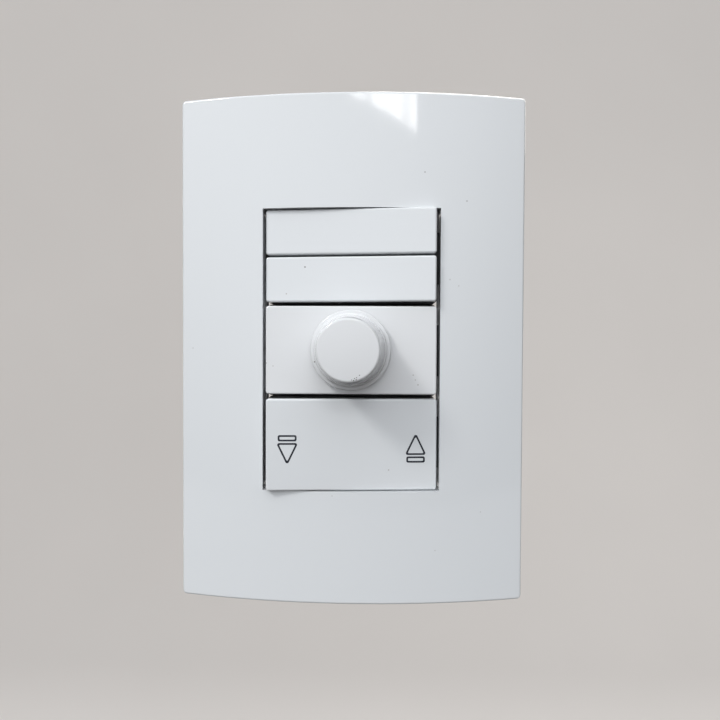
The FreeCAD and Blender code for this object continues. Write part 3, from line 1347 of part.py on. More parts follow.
# The capacitor fills the way from the choke to the right terminal clamp
CAPACITOR_LEFT = CHOKE_ACROSS + S.choke_radius + S.capacitor_choke_gap
CAPACITOR_RIGHT = CLAMP_INNER - S.capacitor_side_gap
CAPACITOR_ACROSS = (CAPACITOR_LEFT + CAPACITOR_RIGHT) / 2
CAPACITOR_TOP = CAVITY_HALF_HEIGHT - S.capacitor_end_gap
CAPACITOR_LOW = CAPACITOR_TOP - S.capacitor_thick


def make_choke():
    """A drum core with its winding between the flanges."""
    core = new_body("choke_core")
    front, rear = BOARD_REAR, FLOOR - S.choke_floor_gap
    turn(core, "choke_core_turned", [
        (0, front), (S.choke_radius, front), (S.choke_radius, front + S.choke_flange),
        (S.choke_drum, front + S.choke_flange), (S.choke_drum, rear - S.choke_flange),
        (S.choke_radius, rear - S.choke_flange), (S.choke_radius, rear), (0, rear),
    ])
    winding = new_body("choke_winding")
    low, high = front + S.choke_flange, rear - S.choke_flange
    outer = S.choke_radius - S.winding_gap
    turn(winding, "choke_winding_turned",
         [(S.choke_drum, low), (outer, low), (outer, high), (S.choke_drum, high)])
    return [place(body, CHOKE_ACROSS, 0, CHOKE_UP) for body in (core, winding)]


def make_capacitor():
    name = "capacitor"
    body = new_body(name)
    rear = FLOOR - S.capacitor_floor_gap
    extrude(body, name + "_case", "front", BOARD_REAR, rear,
            box_outline(CAPACITOR_LEFT, CAPACITOR_LOW, CAPACITOR_RIGHT, CAPACITOR_TOP))
    chamfer_edges(body, name + "_edges", S.capacitor_chamfer,
                  lambda edge: runs_along(edge, 1) or near(edge.BoundBox.YMin, rear))
    return body


def make_axial(name, across, up, radius, length, pitch):
    """A small component on two formed leads, lying along X over the board."""
    half = S.lead_radius
    level = BOARD_REAR + radius + half
    parts = [rod(name + "_body", "x", (level, up), across - length / 2, across + length / 2, radius)]
    for side, label in ((-1, "_left"), (1, "_right")):
        end = across + pitch / 2 * side
        start = across + length / 2 * side
        low, high = (end, start) if side < 0 else (start, end)
        flat = (up - half, up + half)
        parts.append(block(name + label + "_out", (low, high), (level - half, level + half), flat))
        low, high = (end, end + half * 2) if side < 0 else (end - half * 2, end)
        parts.append(block(name + label + "_down", (low, high), (BOARD_REAR, level), flat))
    return fuse(name, parts)


def make_resistors():
    highest = CAPACITOR_LOW - S.resistor_gap - S.resistor_radius
    pitch = CAPACITOR_RIGHT - CAPACITOR_LEFT - S.resistor_inset * 2
    length = pitch - S.resistor_lead_reach * 2
    return group("resistors", [
        make_axial(f"resistor_{number}", CAPACITOR_ACROSS, highest - S.resistor_pitch * (number - 1),
                   S.resistor_radius, length, pitch)
        for number in (1, 2)])


def make_trigger_diode():
    up = CHOKE_UP - S.choke_radius - S.diode_radius - S.diode_gap
    return make_axial("trigger_diode", CHOKE_ACROSS, up, S.diode_radius, S.diode_length,
                      S.diode_lead_pitch)


def make_control_terminal(name, side):
    """A clamp on a foot that stands on the circuit board."""
    outer, inner = CLAMP_OUTER * side, CLAMP_INNER * side
    left, right = (outer, inner) if side < 0 else (inner, outer)
    half = S.clamp_height / 2
    strip = strip_block(name + "_strip", left, right, -half, half)
    edge = inner + S.strip_thick * side
    low, high = (edge, inner) if side < 0 else (inner, edge)
    foot = block(name + "_foot", (low, high), (BOARD_REAR, STRIP), (-half, half))
    return make_terminal(name, side, as_size(0), [strip, foot])


# The whole switch, piece by piece


def build_frame_and_plate():
    screws = [make_box_screw("box_screw_upper", 1), make_box_screw("box_screw_lower", -1)]
    return [make_wall_plate(), make_support_frame(), group("box_screws", screws)]


def build_rocker_set(prefix, height, cell_half_height, up, tilt, bar_tilt):
    """One rocker with everything that moves behind it."""
    return [
        make_rocker(prefix + "_rocker", height, cell_half_height, up, tilt),
        make_plunger(prefix + "_plunger", up, tilt),
        make_spring(prefix + "_spring", up, tilt),
        make_contact_bar(prefix + "_contact_bar", up, bar_tilt),
        make_bar_contacts(prefix + "_bar_contacts", up, bar_tilt),
    ]


def build_twin_switch():
    pieces = [make_twin_housing()]
    screws = []
    for prefix, side in (("first", 1), ("second", -1)):
        up = TOP_MODULE + HALF_CELL * side
        # Both upper rockers rest with the right end raised
        pieces += build_rocker_set(prefix, HALF_ROCKER_HEIGHT, HALF_CELL_HALF_HEIGHT, up,
                                   -S.rocker_tilt, S.bar_tilt)
        pieces.append(make_common_terminal(prefix + "_common_terminal", up))
        pieces.append(make_switched_terminal(prefix + "_switched_terminal", 1, up, up))
        screws += [(-1, up), (1, up)]
    pieces.append(make_clamp_screws("twin_terminal_screws", screws))
    return pieces


def build_fan_control():
    pieces = [
        make_control_housing(), make_control_cover(), make_knob(), make_spindle(),
        make_wiper_carrier(), make_wiper(), make_regulator_case(), make_washer(), make_nut(),
        make_resistance_wafer(), make_regulator_legs(), make_circuit_board(), make_heat_sink(),
        make_triac(), make_triac_leads(), make_sink_rivet(), make_capacitor(), make_resistors(),
        make_trigger_diode(),
        make_control_terminal("supply_terminal", -1), make_control_terminal("fan_terminal", 1),
        make_clamp_screws("control_terminal_screws", [(-1, as_size(0)), (1, as_size(0))]),
    ]
    return pieces + make_choke()


def build_reversing_switch():
    high_clamp = LOW_MODULE + CLAMP_UP
    low_clamp = LOW_MODULE - CLAMP_UP
    # The reversing rocker rests with the left end raised
    pieces = build_rocker_set("reversing", FULL_ROCKER_HEIGHT, CAVITY_HALF_HEIGHT, LOW_MODULE,
                              S.rocker_tilt, -S.bar_tilt)
    return [make_reversing_housing()] + pieces + [
        make_reversing_common(),
        make_switched_terminal("reversing_left_terminal", -1, high_clamp, LOW_MODULE),
        make_switched_terminal("reversing_right_terminal", 1, high_clamp, LOW_MODULE),
        make_clamp_screws("reversing_terminal_screws",
                          [(-1, high_clamp), (-1, low_clamp), (1, high_clamp)]),
    ]


def build_contacts():
    twin = [(CONTACT_ACROSS, TOP_MODULE + HALF_CELL), (CONTACT_ACROSS, TOP_MODULE - HALF_CELL)]
    reversing = [(-CONTACT_ACROSS, LOW_MODULE), (CONTACT_ACROSS, LOW_MODULE)]
    return [make_fixed_contacts(twin + reversing)]


def check_and_write(nodes):
    """Stop if any object failed or any piece is not a sound solid, then write each piece."""
    doc.recompute()
    failed = [f"{item.Label}: {', '.join(item.State)}" for item in doc.Objects
              if "Invalid" in item.State or "Error" in item.State]
    for node in nodes:
        if node.Shape.isNull() or not node.Shape.isValid() or not node.Shape.Solids:
            failed.append(f"{node.Label}: no valid solid")
    if failed:
        raise RuntimeError("; ".join(failed))
    os.makedirs("parts", exist_ok=True)
    for node in nodes:
        node.Shape.exportStep(os.path.join("parts", node.Label + ".step"))
        print(f"{node.Label}: {len(node.Shape.Solids)} solid(s), {node.Shape.Volume:.1f} mm3")
    print(f"{len(nodes)} pieces")


all_nodes = (build_frame_and_plate() + build_twin_switch() + build_fan_control()
             + build_reversing_switch() + build_contacts())
check_and_write(all_nodes)
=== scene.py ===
import json
import math

import bmesh
import bpy
from mathutils import Matrix, Vector


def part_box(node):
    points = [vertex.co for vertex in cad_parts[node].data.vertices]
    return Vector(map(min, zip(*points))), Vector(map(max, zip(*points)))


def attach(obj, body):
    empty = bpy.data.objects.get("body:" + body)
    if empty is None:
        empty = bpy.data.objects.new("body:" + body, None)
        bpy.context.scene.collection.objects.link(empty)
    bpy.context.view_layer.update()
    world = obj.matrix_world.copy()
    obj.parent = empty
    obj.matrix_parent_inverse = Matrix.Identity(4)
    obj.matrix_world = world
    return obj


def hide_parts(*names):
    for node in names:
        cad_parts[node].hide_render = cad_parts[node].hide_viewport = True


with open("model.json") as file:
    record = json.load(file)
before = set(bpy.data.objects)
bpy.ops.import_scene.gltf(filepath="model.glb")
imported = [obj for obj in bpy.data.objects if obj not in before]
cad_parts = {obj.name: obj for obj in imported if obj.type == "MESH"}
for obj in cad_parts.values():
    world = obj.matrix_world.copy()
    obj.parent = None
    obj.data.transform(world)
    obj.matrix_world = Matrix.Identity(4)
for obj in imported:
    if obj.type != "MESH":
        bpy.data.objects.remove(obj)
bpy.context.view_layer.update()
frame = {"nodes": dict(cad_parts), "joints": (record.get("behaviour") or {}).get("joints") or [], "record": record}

bl_info = {
    "name": "Fan Speed Control Switch",
    "version": (1, 0, 0),
    "blender": (4, 5, 0),
    "location": "3D View > Sidebar > Fan Switch",
    "description": "Finishes, fine pieces and stage of a wall-mounted fan speed control switch",
    "category": "Add Mesh",
}

MM = 0.001
MICRON = 1e-6
SHARP_DEGREES = 35.0
WIRE_SHARP_DEGREES = 60.0
CORNER_STEPS = 6
JOINTS = {joint["name"]: joint for joint in frame["joints"]}
RECORD_COLOURS = {row["slot"]: tuple(row["base_color"]) for row in frame["record"]["materials"]}
MOUNT_SIZES = {row["name"]: row["dims"] for row in frame["record"]["mounts"]}
ROCKERS = ("first", "second", "reversing")


# Sizes and colours that a user may change


def length(name, description, millimetres):
    """A length property. Its default is given in millimetres."""
    return bpy.props.FloatProperty(name=name, description=description, default=millimetres * MM,
                                   min=0.0, precision=5, unit="LENGTH")


def height(name, description, millimetres):
    """A height above or below a piece's middle. Its default is given in millimetres."""
    return bpy.props.FloatProperty(name=name, description=description, default=millimetres * MM,
                                   precision=5, unit="LENGTH")


def colour(name, description, default, brightest=1.0):
    """A colour property. That of a light may be brighter than 1."""
    return bpy.props.FloatVectorProperty(name=name, description=description, default=default,
                                         min=0.0, max=brightest, size=3, subtype="COLOR")


def share(name, description, default):
    """A share from 0 to 1."""
    return bpy.props.FloatProperty(name=name, description=description, default=default,
                                   min=0.0, max=1.0, subtype="FACTOR")


def place(name, description, millimetres):
    """A position property. Its default is given in millimetres."""
    return bpy.props.FloatVectorProperty(name=name, description=description, size=3, unit="LENGTH",
                                         default=[value * MM for value in millimetres], subtype="XYZ")


def power(name, description, default):
    """A light's power, in watts."""
    return bpy.props.FloatProperty(name=name, description=description, default=default, min=0.0,
                                   unit="POWER")


def angle(name, description, degrees):
    """An angle property. Its default is given in degrees."""
    return bpy.props.FloatProperty(name=name, description=description, subtype="ANGLE",
                                   default=math.radians(degrees))


class FANSWITCH_PG_plastics(bpy.types.PropertyGroup):
    """Colours and gloss of the moulded pieces."""

    plate: colour("Wall plate", "Colour of the wall plate's plastic", (0.675, 0.70, 0.72))
    rockers: colour("Rockers", "Colour of the three rockers", (0.675, 0.70, 0.72))
    cover: colour("Control cover", "Colour of the flat face behind the knob", (0.68, 0.695, 0.71))
    knob: colour("Knob", "Colour of the speed knob", (0.67, 0.685, 0.70))
    support: colour("Support frame", "Colour of the frame behind the plate", RECORD_COLOURS["frame_grey"])
    housings: colour("Housings", "Colour of the three module housings", (0.018, 0.018, 0.02))
    marks: colour("Marks", "Colour of the printed speed marks", (0.006, 0.008, 0.016))
    roughness: share("Gloss plastic roughness", "Roughness of the white moulded faces", 0.07)
    texture: share("Matte plastic roughness", "Roughness of the housings and the frame", 0.55)


class FANSWITCH_PG_knob(bpy.types.PropertyGroup):
    """Sizes of the speed knob. Its outer radius and its two ends come from the frame."""

    skirt_height: length("Skirt height", "Height of the knob's skirt", 1.5)
    step_radius: length("Step radius", "Radius of the straight step above the skirt", 8.2)
    step_height: length("Step height", "Height of the straight step", 1.1)
    body_radius: length("Body radius", "Radius of the tapered body at its foot", 7.85)
    face_radius: length("Face radius", "Radius of the tapered body at its face", 6.6)
    face_round: length("Face edge", "Radius of the face's rounded edge", 0.55)
    step_round: length("Step edge", "Radius of the rounded edges of skirt and step", 0.28)
    wall: length("Wall", "Thickness of the knob's wall and face", 1.2)
    boss_radius: length("Boss radius", "Radius of the boss round the spindle", 4.3)
    boss_start: length("Boss start", "Distance from the knob's foot to its boss", 3.4)
    rib_start: length("Rib start", "Distance from the knob's foot to its ribs", 5.1)
    rib_wall: length("Rib wall", "Thickness of the ribs", 1.0)
    bore_radius: length("Bore radius", "Radius of the spindle's bore", 3.05)
    bore_end: length("Bore end", "Distance from the knob's face to the bore's end", 1.85)


class FANSWITCH_PG_marks(bpy.types.PropertyGroup):
    """Sizes of the four outlines printed on the lower rocker."""

    across: length("Distance across", "Distance of each pair of marks from the rocker's middle", 14.68)
    width: length("Width", "Width of a bar", 4.28)
    bar_height: length("Bar height", "Height of a bar", 1.43)
    triangle_width: length("Triangle width", "Width of a triangle with sharp corners", 5.0)
    triangle_height: length("Triangle height", "Height of a triangle with sharp corners", 5.15)
    stroke: length("Stroke", "Width of the printed line", 0.4)
    corner: length("Corner", "Radius of the outlines' rounded corners", 0.42)
    left_bar_top: height("Left bar's top", "Height of the left bar's top on the rocker", 2.27)
    left_base: height("Left base", "Height of the left triangle's base on the rocker", 0.46)
    right_base: height("Right base", "Height of the right triangle's base on the rocker", -2.38)
    right_bar_top: height("Right bar's top", "Height of the right bar's top on the rocker", -2.72)
    thickness: length("Ink", "Thickness of the printed line", 0.02)


class FANSWITCH_PG_hardware(bpy.types.PropertyGroup):
    """Sizes of the screws, springs and winding."""

    box_thread: length("Box screw thread", "Pitch of the box screws' thread", 0.6)
    box_depth: length("Box thread depth", "Depth of the box screws' thread", 0.3)
    clamp_thread: length("Terminal screw thread", "Pitch of the terminal screws' thread", 0.5)
    clamp_depth: length("Terminal thread depth", "Depth of the terminal screws' thread", 0.22)
    spring_wire: length("Spring wire", "Thickness of the springs' wire", 0.36)
    winding_wire: length("Winding wire", "Thickness of the choke's wire", 0.42)
    zinc: colour("Zinc", "Colour of the plated screws", (0.56, 0.57, 0.58))
    brass: colour("Brass", "Colour of the terminals", (0.62, 0.44, 0.19))
    tin: colour("Tin", "Colour of the tinned legs and the triac's tab", (0.66, 0.66, 0.64))


class FANSWITCH_PG_stage(bpy.types.PropertyGroup):
    """Floor, backdrop, lights and camera."""

    backdrop: colour("Backdrop", "Colour of the floor and the backdrop", (0.74, 0.70, 0.66))
    surround: colour("Surround", "Colour of what the camera sees beyond the floor", (0.70, 0.67, 0.64))
    floor_level: length("Floor", "Distance from the switch's middle down to the floor", 800)
    backdrop_distance: length("Backdrop distance", "Distance from the wall plane to the backdrop", 620)
    key_power: power("Key light", "Power of the large soft light at the upper left", 0.3)
    key_place: place("Key place", "Where the key light stands", (-470, -450, 540))
    key_target: place("Key target", "What the key light faces", (-20, 0, 30))
    key_size: length("Key size", "Side of the key light", 160)
    key_spread: angle("Key spread", "Angle that the key light's grid lets through", 60)
    back_power: power("Back light", "Power of the light behind the switch", 0.8)
    back_place: place("Back place", "Where the back light stands", (150, 460, 360))
    back_size: length("Back size", "Side of the back light", 300)
    back_spread: angle("Back spread", "Angle that the back light's grid lets through", 70)
    sky: colour("Sky", "Colour of the light from all round, where it is brightest", (1.891, 1.93, 1.988),
                brightest=4.0)
    ground: colour("Ground", "Colour of the light from all round, where it is darkest", (0.03, 0.02, 0.015))
    sky_direction: bpy.props.FloatVectorProperty(
        name="Sky direction", description="Direction of the brightest light", size=3,
        default=(-0.12, -0.76, 0.62), subtype="DIRECTION")
    dark_from: angle("Dark from", "Angle from the brightest light at which it is darkest", 64.0)
    window_strength: bpy.props.FloatProperty(
        name="Window", description="Brightness of the pane that the plate's top mirrors",
        default=12.0, min=0.0)
    camera_place: place("Camera", "Where the camera stands", (5.277, -130.0, 0.176))
    camera_yaw: angle("Yaw", "Camera turned to the left", math.degrees(0.0259))
    camera_pitch: angle("Pitch", "Camera tipped up", math.degrees(-0.0195))
    camera_roll: angle("Roll", "Camera rolled about its own view", math.degrees(0.0044))
    camera_lens: bpy.props.FloatProperty(
        name="Lens", description="Focal length on a 36 mm sensor", default=26.93, min=1.0, unit="CAMERA")


SETTINGS = {
    "fan_switch_plastics": FANSWITCH_PG_plastics,
    "fan_switch_knob": FANSWITCH_PG_knob,
    "fan_switch_marks": FANSWITCH_PG_marks,
    "fan_switch_hardware": FANSWITCH_PG_hardware,
    "fan_switch_stage": FANSWITCH_PG_stage,
}


# Materials


def blended(nodes, links, factor, under, over):
    """A colour between two others. Each is a colour or another node's output."""
    under_socket, over_socket, result_socket = 6, 7, 2
    node = nodes.new("ShaderNodeMix")
    node.data_type = "RGBA"
    links.new(factor, node.inputs["Factor"])
    for socket, value in ((node.inputs[under_socket], under), (node.inputs[over_socket], over)):
        if isinstance(value, bpy.types.NodeSocket):
            links.new(value, socket)
        else:
            socket.default_value = (*value, 1.0)
    return node.outputs[result_socket]


class Finish:
    """A material, with the few nodes that every finish here is made from."""

    def __init__(self, name, base, roughness, metallic=0.0):
        self.material = bpy.data.materials.new(name)
        self.material.use_nodes = True
        self.nodes = self.material.node_tree.nodes
        self.links = self.material.node_tree.links
        self.shader = self.nodes["Principled BSDF"]
        self.place = self.nodes.new("ShaderNodeTexCoord").outputs["Object"]
        self.set("Base Color", (*base, 1.0))
        self.set("Roughness", roughness)
        self.set("Metallic", metallic)
        self.material.diffuse_color = (*base, 1.0)

    def set(self, socket, value):
        self.shader.inputs[socket].default_value = value

    def noise(self, cells_per_metre, detail=2.0, stretch=(1.0, 1.0, 1.0)):
        """Smooth random values over the piece, from 0 to 1."""
        mapping = self.nodes.new("ShaderNodeMapping")
        mapping.inputs["Scale"].default_value = stretch
        self.links.new(self.place, mapping.inputs["Vector"])
        texture = self.nodes.new("ShaderNodeTexNoise")
        texture.inputs["Scale"].default_value = cells_per_metre
        texture.inputs["Detail"].default_value = detail
        self.links.new(mapping.outputs["Vector"], texture.inputs["Vector"])
        return texture.outputs["Fac"]

    def spread(self, value, low, high, from_low=0.3, from_high=0.7):
        """A value stretched from one range to another."""
        node = self.nodes.new("ShaderNodeMapRange")
        for name, number in (("From Min", from_low), ("From Max", from_high),
                             ("To Min", low), ("To Max", high)):
            node.inputs[name].default_value = number
        self.links.new(value, node.inputs["Value"])
        return node.outputs["Result"]

    def mix(self, factor, under, over):
        return blended(self.nodes, self.links, factor, under, over)

    def feed(self, socket, output):
        self.links.new(output, self.shader.inputs[socket])

    def bump(self, height, distance, under=None):
        """Surface relief of a real depth, on top of any relief under it."""
        node = self.nodes.new("ShaderNodeBump")
        node.inputs["Strength"].default_value = 1.0
        node.inputs["Distance"].default_value = distance
        self.links.new(height, node.inputs["Height"])
        if under is not None:
            self.links.new(under, node.inputs["Normal"])
        return node.outputs["Normal"]

    def near(self, spot, radius, soft=0.5):
        """1 inside a small ball at a spot, given in millimetres, and 0 outside it."""
        node = self.nodes.new("ShaderNodeVectorMath")
        node.operation = "DISTANCE"
        node.inputs[1].default_value = [value * MM for value in spot]
        self.links.new(self.place, node.inputs[0])
        return self.spread(node.outputs["Value"], 1.0, 0.0, radius * soft * MM, radius * MM)


def shade(base, amount):
    """The same colour, darker below 1 and lighter above it."""
    return tuple(min(value * amount, 1.0) for value in base)


def gloss_plastic(name, base, roughness, specks=()):
    """Polished moulding: faint flow clouds, a fine ripple in the gloss, and any specks of dirt."""
    cloud_cells, gloss_cells, ripple_cells, grain_cells = 9, 400, 330, 2600
    ripple_depth, grain_depth = 1.5 * MICRON, 0.4 * MICRON
    finish = Finish(name, base, roughness)
    finish.set("IOR", 1.46)
    finish.set("Coat Weight", 0.2)
    finish.set("Coat Roughness", 0.03)
    clouds = finish.spread(finish.noise(cloud_cells, 1.0), 0.0, 1.0)
    surface = finish.mix(clouds, shade(base, 0.994), shade(base, 1.004))
    for spot, radius, tone in specks:
        surface = finish.mix(finish.near(spot, radius), surface, tone)
    finish.feed("Base Color", surface)
    finish.feed("Roughness", finish.spread(finish.noise(gloss_cells), roughness * 0.95, roughness * 1.06))
    ripple = finish.bump(finish.noise(ripple_cells), ripple_depth)
    finish.feed("Normal", finish.bump(finish.noise(grain_cells), grain_depth, ripple))
    return finish.material


def matte_plastic(name, base, roughness):
    """Spark-textured moulding with a fine even grain."""
    cloud_cells, gloss_cells, wave_cells, grain_cells = 60, 300, 900, 5200
    wave_depth, grain_depth = 6.0 * MICRON, 12.0 * MICRON
    finish = Finish(name, base, roughness)
    clouds = finish.spread(finish.noise(cloud_cells, 4.0), 0.0, 1.0)
    finish.feed("Base Color", finish.mix(clouds, shade(base, 0.88), shade(base, 1.12)))
    gloss = finish.noise(gloss_cells, 3.0)
    finish.feed("Roughness", finish.spread(gloss, roughness * 0.85, roughness * 1.15))
    grain = finish.bump(finish.noise(grain_cells, 3.0), grain_depth)
    finish.feed("Normal", finish.bump(finish.noise(wave_cells), wave_depth, grain))
    return finish.material


def plain_metal(name, base, roughness, stretch=(1.0, 1.0, 1.0), wear=0.15):
    """Bare or plated metal: drawn along one way, with soft stains and small scratches."""
    stain_cells, scratch_cells, scratch_depth = 180, 1500, 2.5 * MICRON
    finish = Finish(name, base, roughness, metallic=1.0)
    stains = finish.spread(finish.noise(stain_cells, 4.0), 0.0, 1.0)
    finish.feed("Base Color", finish.mix(stains, shade(base, 1.0 - wear), shade(base, 1.0 + wear * 0.4)))
    drawn = finish.noise(scratch_cells, 5.0, stretch)
    finish.feed("Roughness", finish.spread(drawn, roughness * 0.7, roughness * 1.35))
    finish.feed("Normal", finish.bump(drawn, scratch_depth))
    return finish.material


def fibre_board(name, base, roughness):
    """Woven laminate under a thin lacquer."""
    thread_cells, thread_depth = 2400, 2.0 * MICRON
    finish = Finish(name, base, roughness)
    across = finish.noise(thread_cells, 1.0, (1.0, 0.1, 0.15))
    upward = finish.noise(thread_cells, 1.0, (0.15, 0.1, 1.0))
    weave = finish.mix(finish.spread(across, 0.0, 1.0), shade(base, 0.8), shade(base, 1.15))
    finish.feed("Base Color", finish.mix(finish.spread(upward, 0.0, 0.5), weave, shade(base, 0.85)))
    finish.feed("Normal", finish.bump(across, thread_depth, finish.bump(upward, thread_depth)))
    finish.set("Coat Weight", 0.4)
    return finish.material


def banded_body(name, base, roughness, bands, middle, half_length):
    """Lacquered body with painted rings. A band is (distance from the middle, half width, colour)."""
    stain_cells, dimple_cells, dimple_depth = 700, 1500, 6.0 * MICRON
    finish = Finish(name, base, roughness)
    split = finish.nodes.new("ShaderNodeSeparateXYZ")
    finish.links.new(finish.place, split.inputs["Vector"])
    stains = finish.spread(finish.noise(stain_cells, 3.0), 0.0, 1.0)
    surface = finish.mix(stains, shade(base, 0.93), shade(base, 1.05))
    for across, half, tone in (*bands, (0.0, half_length, None)):
        gap = finish.nodes.new("ShaderNodeMath")
        gap.operation = "COMPARE"
        gap.inputs[1].default_value = middle + across
        gap.inputs[2].default_value = half
        finish.links.new(split.outputs["X"], gap.inputs[0])
        if tone is None:
            surface = finish.mix(gap.outputs["Value"], RECORD_COLOURS["tinned_copper"], surface)
        else:
            surface = finish.mix(gap.outputs["Value"], surface, tone)
    finish.feed("Base Color", surface)
    finish.feed("Normal", finish.bump(finish.noise(dimple_cells, 3.0), dimple_depth))
    return finish.material


def paint(piece, material):
    """Put one material in every slot of a piece."""
    if not piece.data.materials:
        piece.data.materials.append(material)
    for index in range(len(piece.material_slots)):
        piece.material_slots[index].material = material


def paint_nodes(material, *names):
    for name in names:
        paint(frame["nodes"][name], material)


# Mesh tools


def new_piece(name, mesh, material, slot, body, *stands_for):
    """A finished piece that rides on a body and stands for some of the frame's nodes."""
    piece = bpy.data.objects.new(name, mesh)
    bpy.context.scene.collection.objects.link(piece)
    paint(piece, material)
    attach(piece, body)
    if stands_for:
        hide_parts(*stands_for)


def smoothed(name, work, sharp_degrees):
    """Turn a bmesh into a smooth-shaded mesh that keeps its sharp edges."""
    mesh = bpy.data.meshes.new(name)
    work.to_mesh(mesh)
    work.free()
    mesh.shade_smooth()
    mesh.set_sharp_from_angle(angle=math.radians(sharp_degrees))
    return mesh


def mesh_from(name, work, sharp_degrees=SHARP_DEGREES):
    """A smooth-shaded mesh whose faces all look outward."""
    bmesh.ops.recalc_face_normals(work, faces=work.faces)
    return smoothed(name, work, sharp_degrees)


def rounded(points, steps=CORNER_STEPS):
    """An outline whose corners are rounded. A corner is (across, up) or (across, up, radius)."""
    outline = []
    for index, corner in enumerate(points):
        here = Vector(corner[:2])
        if len(corner) == 2:
            outline.append(here)
            continue
        before = (Vector(points[index - 1][:2]) - here).normalized()
        after = (Vector(points[(index + 1) % len(points)][:2]) - here).normalized()
        half = before.angle(after) / 2
        centre = here + (before + after).normalized() * (corner[2] / math.sin(half))
        start = here + before * (corner[2] / math.tan(half)) - centre
        end = here + after * (corner[2] / math.tan(half)) - centre
        sweep = start.angle_signed(end)
        for step in range(steps + 1):
            turned = Matrix.Rotation(-sweep * step / steps, 2) @ start
            outline.append(centre + turned)
    return outline


def round_the_axis(radius, level, share_of_turn):
    """A point at a radius and a level, turned about the Y axis."""
    turned = math.tau * share_of_turn
    return Vector((radius * math.cos(turned), level, radius * math.sin(turned)))


def add_lathe(work, profile, segments=128):
    """Turn a closed outline of (radius, level) points about the Y axis."""
    rings = []
    for radius, level in profile:
        points = segments if radius > 0.0 else 1
        rings.append([work.verts.new(round_the_axis(radius, level, k / segments)) for k in range(points)])
    for first, second in zip(rings, [*rings[1:], rings[0]]):
        for k in range(segments):
            after = (k + 1) % segments
            corners = {id(v): v for v in (first[k % len(first)], first[after % len(first)],
                                          second[after % len(second)], second[k % len(second)])}
            if len(corners) > 2:
                work.faces.new(corners.values())


def add_box(work, low, high):
    """A closed box between two corners."""
    centre = (Vector(low) + Vector(high)) / 2
    size = Vector(high) - Vector(low)
    made = bmesh.ops.create_cube(work, size=1.0)["verts"]
    for vertex in made:
        vertex.co = centre + Vector(vertex.co) * size


def add_skin(work, rings):
    """Close a row of rings of vertices into one skin, with a cap at each end."""
    for first, second in zip(rings, rings[1:]):
        for k in range(len(first)):
            after = (k + 1) % len(first)
            work.faces.new((first[k], first[after], second[after], second[k]))
    work.faces.new(rings[0])
    work.faces.new(rings[-1])


def coil_path(radius, start, end, turns, steps_per_turn):
    """Points of a helix about the Y axis."""
    steps = turns * steps_per_turn
    return [round_the_axis(radius, start + (end - start) * step / steps, step / steps_per_turn)
            for step in range(steps + 1)]


def add_tube(work, path, radius, sides=8):
    """A closed tube of round wire along a path of points."""
    rings = []
    for index, point in enumerate(path):
        ahead = path[min(index + 1, len(path) - 1)] - path[max(index - 1, 0)]
        side = ahead.cross(Vector((0.0, 1.0, 0.0))).normalized()
        lift = side.cross(ahead).normalized()
        rings.append([work.verts.new(point + (side * math.cos(math.tau * k / sides)
                                              + lift * math.sin(math.tau * k / sides)) * radius)
                      for k in range(sides)])
    add_skin(work, rings)


def add_thread(work, radius, depth, pitch, start, end, segments=32, rows_per_turn=6):
    """A closed threaded rod along Y: its surface steps in and out as the thread climbs."""
    turns = (end - start) / pitch
    rows = max(2, int(turns * rows_per_turn))
    rings = []
    for row in range(rows + 1):
        level = start + (end - start) * row / rows
        edge = min(1.0, row / rows_per_turn, (rows - row) / rows_per_turn)
        ring = []
        for k in range(segments):
            phase = ((level - start) / pitch - k / segments) % 1.0
            crest = 1.0 - abs(phase * 2.0 - 1.0)
            local = radius - depth * (1.0 - crest * edge)
            ring.append(work.verts.new(round_the_axis(local, level, k / segments)))
        rings.append(ring)
    add_skin(work, rings)


def slotted(mesh, low, high):
    """Cut a driver slot, given as a box, out of a mesh."""
    cutter_work = bmesh.new()
    add_box(cutter_work, low, high)
    cutter = bpy.data.objects.new("slot_cutter", mesh_from("slot_cutter", cutter_work))
    holder = bpy.data.objects.new("slot_holder", mesh)
    for thing in (cutter, holder):
        bpy.context.scene.collection.objects.link(thing)
    boolean = holder.modifiers.new("slot", "BOOLEAN")
    boolean.object = cutter
    boolean.operation = "DIFFERENCE"
    boolean.solver = "EXACT"
    bpy.context.view_layer.update()
    evaluated = holder.evaluated_get(bpy.context.evaluated_depsgraph_get())
    result = bpy.data.meshes.new_from_object(evaluated)
    for thing in (cutter, holder):
        bpy.data.objects.remove(thing)
    return result


def joined(name, meshes_and_places):
    """One mesh from several, each put in its own place."""
    work = bmesh.new()
    for mesh, matrix in meshes_and_places:
        copy = mesh.copy()
        copy.transform(matrix)
        work.from_mesh(copy)
        bpy.data.meshes.remove(copy)
    return smoothed(name, work, SHARP_DEGREES)


def rocker_place(prefix):
    """Where a rocker's own frame stands at rest, with its origin on the pivot."""
    joint = JOINTS[prefix + "_rocker_tilt"]
    tilt = -math.radians(sum(joint["range_deg"])) / 2
    return Matrix.Translation(joint["pos_m"]) @ Matrix.Rotation(tilt, 4, "Z")


# Operators, one for each piece or group of like pieces


